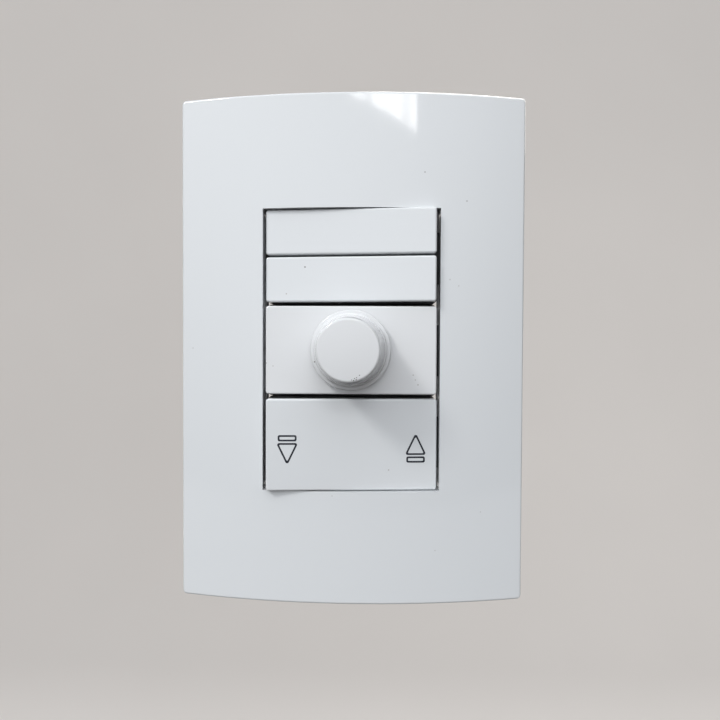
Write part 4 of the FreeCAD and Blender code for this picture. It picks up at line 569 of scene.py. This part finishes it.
class FANSWITCH_OT_plate(bpy.types.Operator):
    """Give the wall plate its glossy moulded finish"""

    bl_idname = "fan_switch.plate"
    bl_label = "Wall Plate"

    def execute(self, context):
        look = context.scene.fan_switch_plastics
        dust, faint = (0.3, 0.3, 0.31), (0.5, 0.51, 0.52)
        specks = [((16.59, -7.28, 40.3), 0.2, dust), ((26.26, -6.2, 34.06), 0.2, dust),
                  ((22.48, -6.68, 16.18), 0.22, faint), ((24.52, -6.43, 14.76), 0.2, faint),
                  ((-37.28, -4.36, 0.35), 0.2, faint), ((-4.14, -7.96, -33.27), 0.18, faint),
                  ((19.48, -7.01, -45.83), 0.18, faint), ((30.05, -5.64, -37.22), 0.18, faint)]
        material = gloss_plastic("Plate plastic", look.plate, look.roughness, specks)
        paint_nodes(material, "wall_plate")
        return {"FINISHED"}


class FANSWITCH_OT_rockers(bpy.types.Operator):
    """Give the three rockers and the control cover their glossy moulded finish"""

    bl_idname = "fan_switch.rockers"
    bl_label = "Rockers and Cover"

    def execute(self, context):
        look = context.scene.fan_switch_plastics
        dirt = (0.12, 0.11, 0.10)
        faint = (0.42, 0.41, 0.40)
        rocker_specks = [((-10.6, -6.75, 18.99), 0.22, dirt), ((-14.93, -6.44, 12.9), 0.2, faint),
                         ((8.76, -6.88, -27.42), 0.2, faint)]
        cover_specks = [((-19.39, -7.5, -3.01), 0.2, dirt), ((-17.78, -7.5, -3.68), 0.16, faint),
                        ((14.2, -7.5, -5.6), 0.2, faint), ((14.7, -7.5, -6.7), 0.18, faint),
                        ((15.3, -7.5, -7.8), 0.22, faint)]
        rockers = gloss_plastic("Rocker plastic", look.rockers, look.roughness, rocker_specks)
        cover = gloss_plastic("Cover plastic", look.cover, look.roughness, cover_specks)
        paint_nodes(rockers, *(prefix + "_rocker" for prefix in ROCKERS))
        paint_nodes(cover, "control_cover")
        return {"FINISHED"}


class FANSWITCH_OT_knob(bpy.types.Operator):
    """Turn the stepped, tapered speed knob with its rounded edges, boss and ribs"""

    bl_idname = "fan_switch.knob"
    bl_label = "Speed Knob"

    def execute(self, context):
        sizes = context.scene.fan_switch_knob
        look = context.scene.fan_switch_plastics
        low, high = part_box("knob")
        skirt = (high.x - low.x) / 2
        face, foot = low.y, high.y
        skirt_top = foot - sizes.skirt_height
        step_top = skirt_top - sizes.step_height
        inside = face + sizes.wall
        boss = foot - sizes.boss_start
        bore_end = face + sizes.bore_end
        inner = sizes.face_radius - sizes.wall
        small = sizes.step_round
        profile = rounded([
            (inner, foot), (skirt, foot, small / 2), (skirt, skirt_top, small),
            (sizes.step_radius, skirt_top, small / 2), (sizes.step_radius, step_top, small),
            (sizes.body_radius, step_top), (sizes.face_radius, face, sizes.face_round),
            (0.0, face), (0.0, bore_end), (sizes.bore_radius, bore_end),
            (sizes.bore_radius, boss), (sizes.boss_radius, boss, small),
            (sizes.boss_radius, inside), (inner, inside),
        ])
        work = bmesh.new()
        add_lathe(work, profile)
        half = sizes.rib_wall / 2
        reach = inner + sizes.wall / 2
        rib_end = foot - sizes.rib_start
        root = sizes.boss_radius - sizes.wall / 2
        for side in (-1, 1):
            near_end, far_end = sorted((root * side, reach * side))
            add_box(work, (near_end, inside - sizes.wall / 2, -half), (far_end, rib_end, half))
            add_box(work, (-half, inside - sizes.wall / 2, near_end), (half, rib_end, far_end))
        chips = (0.035, 0.03, 0.026)
        on_face = [(2.36, -5.06, 0.14), (1.78, -5.55, 0.13), (1.35, -5.73, 0.14), (1.7, -5.95, 0.16),
                   (1.17, -6.12, 0.17), (0.74, -6.02, 0.12)]
        specks = [((x, face / MM, z), radius, chips) for x, z, radius in on_face]
        specks.append(((-8.06, skirt_top / MM, -2.64), 0.18, chips))
        material = gloss_plastic("Knob plastic", look.knob, look.roughness, specks)
        new_piece("speed_knob", mesh_from("speed_knob", work), material, "knob_white", "knob", "knob")
        return {"FINISHED"}


def outline_strip(work, outer, inner, to_rocker, thickness):
    """A printed line between two outlines with the same number of points, a hair proud."""
    layers = []
    for lift in (0.0, thickness):
        layers.append([[work.verts.new(to_rocker @ Vector((p.x, -lift, p.y))) for p in loop]
                       for loop in (outer, inner)])
    (low_outer, low_inner), (high_outer, high_inner) = layers
    count = len(outer)
    for k in range(count):
        after = (k + 1) % count
        for a, b in ((high_outer, high_inner), (low_inner, low_outer),
                     (low_outer, high_outer), (high_inner, low_inner)):
            work.faces.new((a[k], a[after], b[after], b[k]))


def shrunk(points, amount):
    """The corners of a convex outline, moved in by an amount on every side."""
    moved = []
    for index, point in enumerate(points):
        here = Vector(point)
        before = (Vector(points[index - 1]) - here).normalized()
        after = (Vector(points[(index + 1) % len(points)]) - here).normalized()
        half = before.angle(after) / 2
        moved.append(here + (before + after).normalized() * (amount / math.sin(half)))
    return moved


class FANSWITCH_OT_marks(bpy.types.Operator):
    """Print the two bars and two triangles on the lower rocker"""

    bl_idname = "fan_switch.marks"
    bl_label = "Speed Marks"

    def execute(self, context):
        sizes = context.scene.fan_switch_marks
        look = context.scene.fan_switch_plastics
        rocker = rocker_place("reversing")
        low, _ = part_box("control_cover")
        to_rocker = rocker @ Matrix.Translation((0.0, low.y - rocker.translation.y, 0.0))
        half = sizes.width / 2
        left, right = -sizes.across, sizes.across
        bars = []
        for middle, top in ((left, sizes.left_bar_top), (right, sizes.right_bar_top)):
            bottom = top - sizes.bar_height
            bars.append([(middle - half, bottom), (middle + half, bottom),
                         (middle + half, top), (middle - half, top)])
        down_tip = sizes.left_base - sizes.triangle_height
        up_tip = sizes.right_base + sizes.triangle_height
        reach = sizes.triangle_width / 2
        triangles = [
            [(left, down_tip), (left + reach, sizes.left_base), (left - reach, sizes.left_base)],
            [(right - reach, sizes.right_base), (right + reach, sizes.right_base), (right, up_tip)],
        ]
        # The inner corners stay rounder than a line of even width would have them
        round_loss = 0.6
        inner_round = sizes.corner - sizes.stroke * round_loss
        work = bmesh.new()
        for corners in bars + triangles:
            inner_corners = shrunk(corners, sizes.stroke)
            outer = rounded([(x, z, sizes.corner) for x, z in corners])
            inner = rounded([(p.x, p.y, inner_round) for p in inner_corners])
            outline_strip(work, outer, inner, to_rocker, sizes.thickness)
        ink_cells, ink_roughness = 2500, 0.35
        ink = Finish("Mark ink", look.marks, ink_roughness)
        ink.feed("Base Color", ink.mix(ink.spread(ink.noise(ink_cells), 0.0, 1.0),
                                       shade(look.marks, 0.7), shade(look.marks, 1.6)))
        new_piece("speed_marks", mesh_from("speed_marks", work), ink.material, "housing_black",
                  "reversing_rocker")
        return {"FINISHED"}


class FANSWITCH_OT_frame_and_housings(bpy.types.Operator):
    """Give the support frame and the three module housings their textured plastics"""

    bl_idname = "fan_switch.frame_and_housings"
    bl_label = "Frame and Housings"

    def execute(self, context):
        look = context.scene.fan_switch_plastics
        paint_nodes(matte_plastic("Frame plastic", look.support, look.texture), "support_frame")
        paint_nodes(matte_plastic("Housing plastic", look.housings, look.texture),
                    "twin_housing", "control_housing", "reversing_housing")
        return {"FINISHED"}


class FANSWITCH_OT_box_screws(bpy.types.Operator):
    """Turn the two slotted, threaded screws that hold the frame on the wall box"""

    bl_idname = "fan_switch.box_screws"
    bl_label = "Box Screws"

    def execute(self, context):
        sizes = context.scene.fan_switch_hardware
        head_height, rim_height, slot_half, slot_deep = 1.9 * MM, 0.9 * MM, 0.45 * MM, 0.9 * MM
        seat_round, rim_round, dome_round = 0.1 * MM, 0.3 * MM, 1.2 * MM
        low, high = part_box("box_screws")
        spacing = MOUNT_SIZES["wall_box_screws"]["spacing_y_mm"] * MM
        radius = MOUNT_SIZES["wall_box_screws"]["stud_r_mm"] * MM
        head = (high.x - low.x) / 2
        crown = head * 0.62
        seat = low.y + head_height
        neck = radius - sizes.box_depth
        work = bmesh.new()
        add_lathe(work, rounded([
            (0.0, seat), (head, seat, seat_round), (head, seat - rim_height, rim_round),
            (crown, low.y, dome_round), (0.0, low.y)]), 64)
        head_mesh = slotted(mesh_from("screw_head", work), (-head * 2, low.y - MM, -slot_half),
                            (head * 2, low.y + slot_deep, slot_half))
        work = bmesh.new()
        add_lathe(work, [(0.0, seat), (neck, seat), (neck, 0.0), (0.0, 0.0)], 48)
        add_thread(work, radius, sizes.box_depth, sizes.box_thread, 0.0, high.y)
        shank_mesh = mesh_from("screw_shank", work, WIRE_SHARP_DEGREES)
        placed = [(mesh, Matrix.Translation((0.0, 0.0, side * spacing / 2)))
                  for side in (-1, 1) for mesh in (head_mesh, shank_mesh)]
        material = plain_metal("Zinc plate", sizes.zinc, 0.32)
        new_piece("threaded_box_screws", joined("threaded_box_screws", placed), material, "zinc_steel",
                  "root", "box_screws")
        return {"FINISHED"}


class FANSWITCH_OT_terminal_screws(bpy.types.Operator):
    """Turn the slotted, threaded screws of the nine wire clamps"""

    bl_idname = "fan_switch.terminal_screws"
    bl_label = "Terminal Screws"
    head_height = 1.2 * MM

    def execute(self, context):
        sizes = context.scene.fan_switch_hardware
        head_radius, radius, grip, sunk = 2.4 * MM, 1.45 * MM, 2.4 * MM, 0.02 * MM
        slot_half, slot_deep, seat_round, rim_round = 0.3 * MM, 0.6 * MM, 0.08 * MM, 0.3 * MM
        top = -self.head_height
        work = bmesh.new()
        add_lathe(work, rounded([
            (0.0, 0.0), (head_radius, 0.0, seat_round), (head_radius, top, rim_round), (0.0, top)]), 48)
        head_mesh = slotted(mesh_from("clamp_head", work), (-slot_half, top - MM, -head_radius * 2),
                            (slot_half, top + slot_deep, head_radius * 2))
        work = bmesh.new()
        add_thread(work, radius, sizes.clamp_depth, sizes.clamp_thread, -sunk, grip, 24)
        shank_mesh = mesh_from("clamp_shank", work, WIRE_SHARP_DEGREES)
        material = plain_metal("Terminal screw zinc", sizes.zinc, 0.3)
        for node, places in self.screw_places().items():
            placed = []
            for side, across, level, up in places:
                turned = Matrix.Rotation(side * math.pi / 2, 4, "Z")
                matrix = Matrix.Translation((across, level, up)) @ turned
                placed += [(head_mesh, matrix), (shank_mesh, matrix)]
            new_piece("threaded_" + node, joined("threaded_" + node, placed), material, "zinc_steel",
                      "root", node)
        return {"FINISHED"}

    def screw_places(self):
        """Where each screw's head sits, worked out from the terminals that the screws go into."""
        clamp_height = 6.0 * MM
        terminals = {
            "twin_terminal_screws": [("first_common_terminal", -1), ("second_common_terminal", -1),
                                     ("first_switched_terminal", 1), ("second_switched_terminal", 1)],
            "control_terminal_screws": [("supply_terminal", -1), ("fan_terminal", 1)],
            "reversing_terminal_screws": [("reversing_common_terminal", -1),
                                          ("reversing_left_terminal", -1),
                                          ("reversing_right_terminal", 1)],
        }
        found = {}
        for node, rows in terminals.items():
            low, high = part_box(node)
            level = (low.y + high.y) / 2
            found[node] = []
            for terminal, side in rows:
                first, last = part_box(terminal)
                if terminal == "reversing_common_terminal":
                    up = first.z + clamp_height / 2
                elif terminal in ("reversing_left_terminal", "reversing_right_terminal"):
                    up = last.z - clamp_height / 2
                else:
                    up = (first.z + last.z) / 2
                seat = high.x - self.head_height if side > 0 else low.x + self.head_height
                found[node].append((side, seat, level, up))
        return found


class FANSWITCH_OT_springs(bpy.types.Operator):
    """Wind the three plunger springs from round wire"""

    bl_idname = "fan_switch.springs"
    bl_label = "Plunger Springs"

    def execute(self, context):
        turns, steps_per_turn = 5, 28
        # The spring's outer radius, and how far its two ends lie from the rocker's pivot
        outer, front, back = 1.6 * MM, -2.55 * MM, 0.85 * MM
        wire = context.scene.fan_switch_hardware.spring_wire / 2
        coil = coil_path(outer - wire, front + wire, back - wire, turns, steps_per_turn)
        material = plain_metal("Spring wire", RECORD_COLOURS["spring_steel"], 0.25)
        for prefix in ROCKERS:
            to_place = rocker_place(prefix)
            name = prefix + "_coil_spring"
            work = bmesh.new()
            add_tube(work, [to_place @ point for point in coil], wire)
            new_piece(name, mesh_from(name, work, WIRE_SHARP_DEGREES), material, "spring_steel",
                      prefix + "_rocker", prefix + "_spring")
        return {"FINISHED"}


class FANSWITCH_OT_contacts(bpy.types.Operator):
    """Give the contact bars, contacts, terminals and plungers their finishes"""

    bl_idname = "fan_switch.contacts"
    bl_label = "Contacts and Terminals"

    def execute(self, context):
        sizes = context.scene.fan_switch_hardware
        along = (0.12, 1.0, 1.0)
        brass = plain_metal("Stamped brass", sizes.brass, 0.3, along)
        copper = plain_metal("Copper strip", (0.66, 0.33, 0.2), 0.3, along)
        silver = plain_metal("Silver contact", (0.8, 0.79, 0.76), 0.22)
        nylon = matte_plastic("Plunger nylon", RECORD_COLOURS["plunger_white"], 0.4)
        for prefix in ROCKERS:
            paint_nodes(copper, prefix + "_contact_bar")
            paint_nodes(silver, prefix + "_bar_contacts")
            paint_nodes(nylon, prefix + "_plunger")
        paint_nodes(silver, "fixed_contacts")
        paint_nodes(brass, "first_common_terminal", "second_common_terminal", "first_switched_terminal",
                    "second_switched_terminal", "reversing_common_terminal", "reversing_left_terminal",
                    "reversing_right_terminal", "supply_terminal", "fan_terminal")
        return {"FINISHED"}


class FANSWITCH_OT_regulator(bpy.types.Operator):
    """Give the regulator, its spindle, its wafer and its nut their finishes"""

    bl_idname = "fan_switch.regulator"
    bl_label = "Regulator"

    def execute(self, context):
        sizes = context.scene.fan_switch_hardware
        nickel = plain_metal("Nickel plate", (0.6, 0.58, 0.53), 0.3)
        paint_nodes(nickel, "regulator_case", "regulator_nut")
        paint_nodes(plain_metal("Washer steel", (0.52, 0.53, 0.54), 0.38), "regulator_washer")
        paint_nodes(plain_metal("Spring bronze", (0.6, 0.37, 0.17), 0.28, (1.0, 1.0, 0.12)), "wiper")
        paint_nodes(plain_metal("Tinned leg", sizes.tin, 0.35), "regulator_legs")
        paint_nodes(matte_plastic("Spindle plastic", RECORD_COLOURS["spindle_grey"], 0.4), "spindle")
        phenolic = fibre_board("Phenolic sheet", (0.12, 0.055, 0.022), 0.45)
        paint_nodes(phenolic, "wiper_carrier", "resistance_wafer")
        return {"FINISHED"}


class FANSWITCH_OT_circuit(bpy.types.Operator):
    """Give the circuit board and the components on it their finishes"""

    bl_idname = "fan_switch.circuit"
    bl_label = "Circuit Board"

    def execute(self, context):
        sizes = context.scene.fan_switch_hardware
        paint_nodes(fibre_board("Circuit board", (0.018, 0.12, 0.04), 0.35), "circuit_board")
        aluminium = plain_metal("Rolled aluminium", (0.66, 0.67, 0.69), 0.36, (0.1, 1.0, 1.0))
        paint_nodes(aluminium, "heat_sink", "sink_rivet")
        paint_nodes(matte_plastic("Moulded epoxy", (0.012, 0.012, 0.013), 0.42), "triac")
        paint_nodes(plain_metal("Tinned tab", sizes.tin, 0.33), "triac_leads")
        capacitor = gloss_plastic("Dipped film", (0.17, 0.014, 0.01), 0.28)
        paint_nodes(capacitor, "capacitor")
        self.paint_resistors()
        paint_nodes(gloss_plastic("Diode glass", (0.02, 0.07, 0.24), 0.15), "trigger_diode")
        paint_nodes(matte_plastic("Ferrite", (0.02, 0.02, 0.021), 0.5), "choke_core")
        return {"FINISHED"}

    def paint_resistors(self):
        """Lacquered bodies with four painted rings, between bare leads."""
        low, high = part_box("resistors")
        lead_reach, half_band = 1.5 * MM, 0.3 * MM
        half_body = (high.x - low.x) / 2 - lead_reach
        brown, black = (0.09, 0.03, 0.012), (0.01, 0.01, 0.01)
        red, gold = (0.5, 0.05, 0.01), (0.5, 0.33, 0.08)
        # How far along the half body each ring lies, and its colour
        tones = ((-0.62, brown), (-0.3, black), (0.02, red), (0.6, gold))
        bands = [(along * half_body, half_band, tone) for along, tone in tones]
        lacquer = banded_body("Resistor lacquer", (0.46, 0.3, 0.15), 0.35, bands, (low.x + high.x) / 2,
                              half_body)
        paint_nodes(lacquer, "resistors")


class FANSWITCH_OT_winding(bpy.types.Operator):
    """Wind the choke's enamelled wire between its flanges"""

    bl_idname = "fan_switch.winding"
    bl_label = "Choke Winding"

    def execute(self, context):
        # The pitch is a share of the wire's thickness, and the fill's depth a share of its radius
        steps_per_turn, core, pitch_share, fill_share = 36, 2.0 * MM, 1.02, 1.2
        low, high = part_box("choke_winding")
        centre = (low + high) / 2
        wire = context.scene.fan_switch_hardware.winding_wire / 2
        outer = (high.x - low.x) / 2
        start, end = low.y + wire, high.y - wire
        turns = int((end - start) / (wire * 2 * pitch_share))
        fill = outer - wire * fill_share
        work = bmesh.new()
        add_tube(work, coil_path(outer - wire, start, end, turns, steps_per_turn), wire)
        add_lathe(work, [(core, low.y), (fill, low.y), (fill, high.y), (core, high.y)], 64)
        bmesh.ops.translate(work, verts=work.verts, vec=(centre.x, 0.0, centre.z))
        enamel = plain_metal("Enamelled copper", (0.42, 0.12, 0.04), 0.28, wear=0.25)
        new_piece("wound_choke", mesh_from("wound_choke", work, WIRE_SHARP_DEGREES), enamel,
                  "winding_copper", "root", "choke_winding")
        return {"FINISHED"}


# Stage


def add_light(name, place_at, target, size, watts, tint, spread):
    """A square light at a place, facing a target, that the camera doesn't see."""
    lamp = bpy.data.lights.new(name, "AREA")
    lamp.shape = "SQUARE"
    lamp.size = size
    lamp.spread = spread
    lamp.energy = watts
    lamp.color = tint
    holder = bpy.data.objects.new(name, lamp)
    holder.location = place_at
    holder.rotation_euler = (Vector(target) - Vector(place_at)).to_track_quat("-Z", "Y").to_euler()
    holder.visible_camera = False
    bpy.context.scene.collection.objects.link(holder)


def add_stage_piece(name, work, material, sharp_degrees=SHARP_DEGREES):
    """A sheet or shell of the stage, which isn't part of the switch."""
    piece = bpy.data.objects.new(name, mesh_from(name, work, sharp_degrees))
    bpy.context.scene.collection.objects.link(piece)
    paint(piece, material)
    return piece


class FANSWITCH_OT_stage(bpy.types.Operator):
    """Set up the floor, backdrop, lights and camera"""

    bl_idname = "fan_switch.stage"
    bl_label = "Stage"

    def execute(self, context):
        stage = context.scene.fan_switch_stage
        self.add_sweep(stage)
        self.add_surround(stage)
        self.add_lights(context, stage)
        self.add_window(stage)
        self.add_camera(context, stage)
        context.scene.view_settings.view_transform = "Standard"
        return {"FINISHED"}

    def add_sweep(self, stage):
        """A floor that curves up into a backdrop in one sheet."""
        half_width, front, bend, top = 3.0, -2.5, 0.35, 2.5
        bend_steps, paper_cells, smooth_degrees = 16, 3, 80.0
        back = stage.backdrop_distance
        line = [(front, -stage.floor_level), (back - bend, -stage.floor_level)]
        for step in range(1, bend_steps + 1):
            turned = math.pi / 2 * step / bend_steps
            line.append((back - bend + bend * math.sin(turned),
                         -stage.floor_level + bend * (1 - math.cos(turned))))
        line.append((back, top))
        work = bmesh.new()
        rows = [[work.verts.new((x, y, z)) for x in (-half_width, half_width)] for y, z in line]
        for low, high in zip(rows, rows[1:]):
            work.faces.new((low[0], low[1], high[1], high[0]))
        finish = Finish("Backdrop paper", stage.backdrop, 0.9)
        finish.feed("Base Color", finish.mix(finish.spread(finish.noise(paper_cells, 3.0), 0.0, 1.0),
                                             shade(stage.backdrop, 0.98), shade(stage.backdrop, 1.02)))
        sweep = add_stage_piece("backdrop", work, finish.material, smooth_degrees)
        sweep.visible_diffuse = False
        sweep.visible_shadow = False

    def add_surround(self, stage):
        """A plain pale shell far round the switch, which lights and mirrors nothing."""
        radius, columns, rows = 6.0, 48, 24
        work = bmesh.new()
        bmesh.ops.create_uvsphere(work, u_segments=columns, v_segments=rows, radius=radius)
        glow = Finish("Surround light", (0.0, 0.0, 0.0), 1.0)
        glow.set("Specular IOR Level", 0.0)
        glow.set("Emission Color", (*stage.surround, 1.0))
        glow.set("Emission Strength", 1.0)
        shell = add_stage_piece("surround", work, glow.material)
        shell.visible_diffuse = False
        shell.visible_glossy = False
        shell.visible_transmission = False
        shell.visible_shadow = False

    def add_lights(self, context, stage):
        """Two soft lights, and light from all round that fades away from its brightest side."""
        key_tint, back_tint, middle = (1.0, 0.99, 0.97), (1.0, 0.98, 0.96), (0.0, 0.0, 0.0)
        add_light("key_light", stage.key_place, stage.key_target, stage.key_size, stage.key_power,
                  key_tint, stage.key_spread)
        add_light("back_light", stage.back_place, middle, stage.back_size, stage.back_power,
                  back_tint, stage.back_spread)
        world = bpy.data.worlds.new("surroundings")
        world.use_nodes = True
        nodes, links = world.node_tree.nodes, world.node_tree.links
        toward = nodes.new("ShaderNodeVectorMath")
        toward.operation = "DOT_PRODUCT"
        toward.inputs[1].default_value = Vector(stage.sky_direction).normalized()
        links.new(nodes.new("ShaderNodeTexCoord").outputs["Generated"], toward.inputs[0])
        level = nodes.new("ShaderNodeMapRange")
        level.interpolation_type = "SMOOTHSTEP"
        level.inputs["From Min"].default_value = math.cos(stage.dark_from)
        links.new(toward.outputs["Value"], level.inputs["Value"])
        links.new(blended(nodes, links, level.outputs["Result"], stage.ground, stage.sky),
                  nodes["Background"].inputs["Color"])
        context.scene.world = world

    def add_window(self, stage):
        """A bright pane, high in front, that the plate's top mirrors as a slanted patch."""
        distance, left, right, top = -620.0, -31.4, 157.0, 420.0
        fold_cells, faintest = 26, 0.4
        slant = [(right, 299.4), (123.0, 308.7), (94.5, 316.6), (52.3, 325.7), (10.4, 338.5), (left, 344.0)]
        outline = [(left, top), (right, top), *slant]
        work = bmesh.new()
        work.faces.new([work.verts.new((x * MM, distance * MM, z * MM)) for x, z in outline])
        glow = Finish("Window light", (0.0, 0.0, 0.0), 1.0)
        glow.set("Emission Color", (1.0, 1.0, 1.0, 1.0))
        folds = glow.noise(fold_cells, 1.0, (1.0, 1.0, 0.02))
        glow.feed("Emission Strength", glow.spread(folds, stage.window_strength * faintest,
                                                   stage.window_strength))
        pane = add_stage_piece("window_pane", work, glow.material)
        pane.visible_camera = False

    def add_camera(self, context, stage):
        """The photograph's own viewing place, with its small turn, tip and roll."""
        sensor_width, near_limit = 36.0, 0.01
        yaw, pitch, roll = stage.camera_yaw, stage.camera_pitch, stage.camera_roll
        ahead = Vector((-math.sin(yaw) * math.cos(pitch), math.cos(yaw) * math.cos(pitch),
                        math.sin(pitch)))
        level_right = Vector((math.cos(yaw), math.sin(yaw), 0.0))
        level_up = level_right.cross(ahead)
        right = level_right * math.cos(roll) + level_up * math.sin(roll)
        up = level_up * math.cos(roll) - level_right * math.sin(roll)
        lens = bpy.data.cameras.new("camera")
        lens.lens = stage.camera_lens
        lens.sensor_width = sensor_width
        lens.clip_start = near_limit
        camera = bpy.data.objects.new("camera", lens)
        context.scene.collection.objects.link(camera)
        turned = Matrix((right, up, -ahead)).transposed()
        camera.matrix_world = Matrix.Translation(stage.camera_place) @ turned.to_4x4()
        context.scene.camera = camera


# Panel and registration


class FANSWITCH_PT_panel(bpy.types.Panel):
    """Lists the steps that dress the switch"""

    bl_idname = "FANSWITCH_PT_panel"
    bl_label = "Fan Speed Control Switch"
    bl_space_type = "VIEW_3D"
    bl_region_type = "UI"
    bl_category = "Fan Switch"

    def draw(self, context):
        for operator in OPERATORS:
            self.layout.operator(operator.bl_idname)
        for settings in SETTINGS:
            box = self.layout.box()
            box.label(text=SETTINGS[settings].__doc__)
            group = getattr(context.scene, settings)
            for name in SETTINGS[settings].__annotations__:
                box.prop(group, name)


OPERATORS = (
    FANSWITCH_OT_plate,
    FANSWITCH_OT_rockers,
    FANSWITCH_OT_knob,
    FANSWITCH_OT_marks,
    FANSWITCH_OT_frame_and_housings,
    FANSWITCH_OT_box_screws,
    FANSWITCH_OT_terminal_screws,
    FANSWITCH_OT_springs,
    FANSWITCH_OT_contacts,
    FANSWITCH_OT_regulator,
    FANSWITCH_OT_circuit,
    FANSWITCH_OT_winding,
    FANSWITCH_OT_stage,
)


def register():
    for cls in (*SETTINGS.values(), *OPERATORS, FANSWITCH_PT_panel):
        bpy.utils.register_class(cls)
    for name, cls in SETTINGS.items():
        setattr(bpy.types.Scene, name, bpy.props.PointerProperty(type=cls))


def unregister():
    for name in SETTINGS:
        delattr(bpy.types.Scene, name)
    for cls in reversed((*SETTINGS.values(), *OPERATORS, FANSWITCH_PT_panel)):
        bpy.utils.unregister_class(cls)


def main():
    register()
    for operator in OPERATORS:
        family, name = operator.bl_idname.split(".")
        getattr(getattr(bpy.ops, family), name)()


if __name__ == "__main__":
    main()
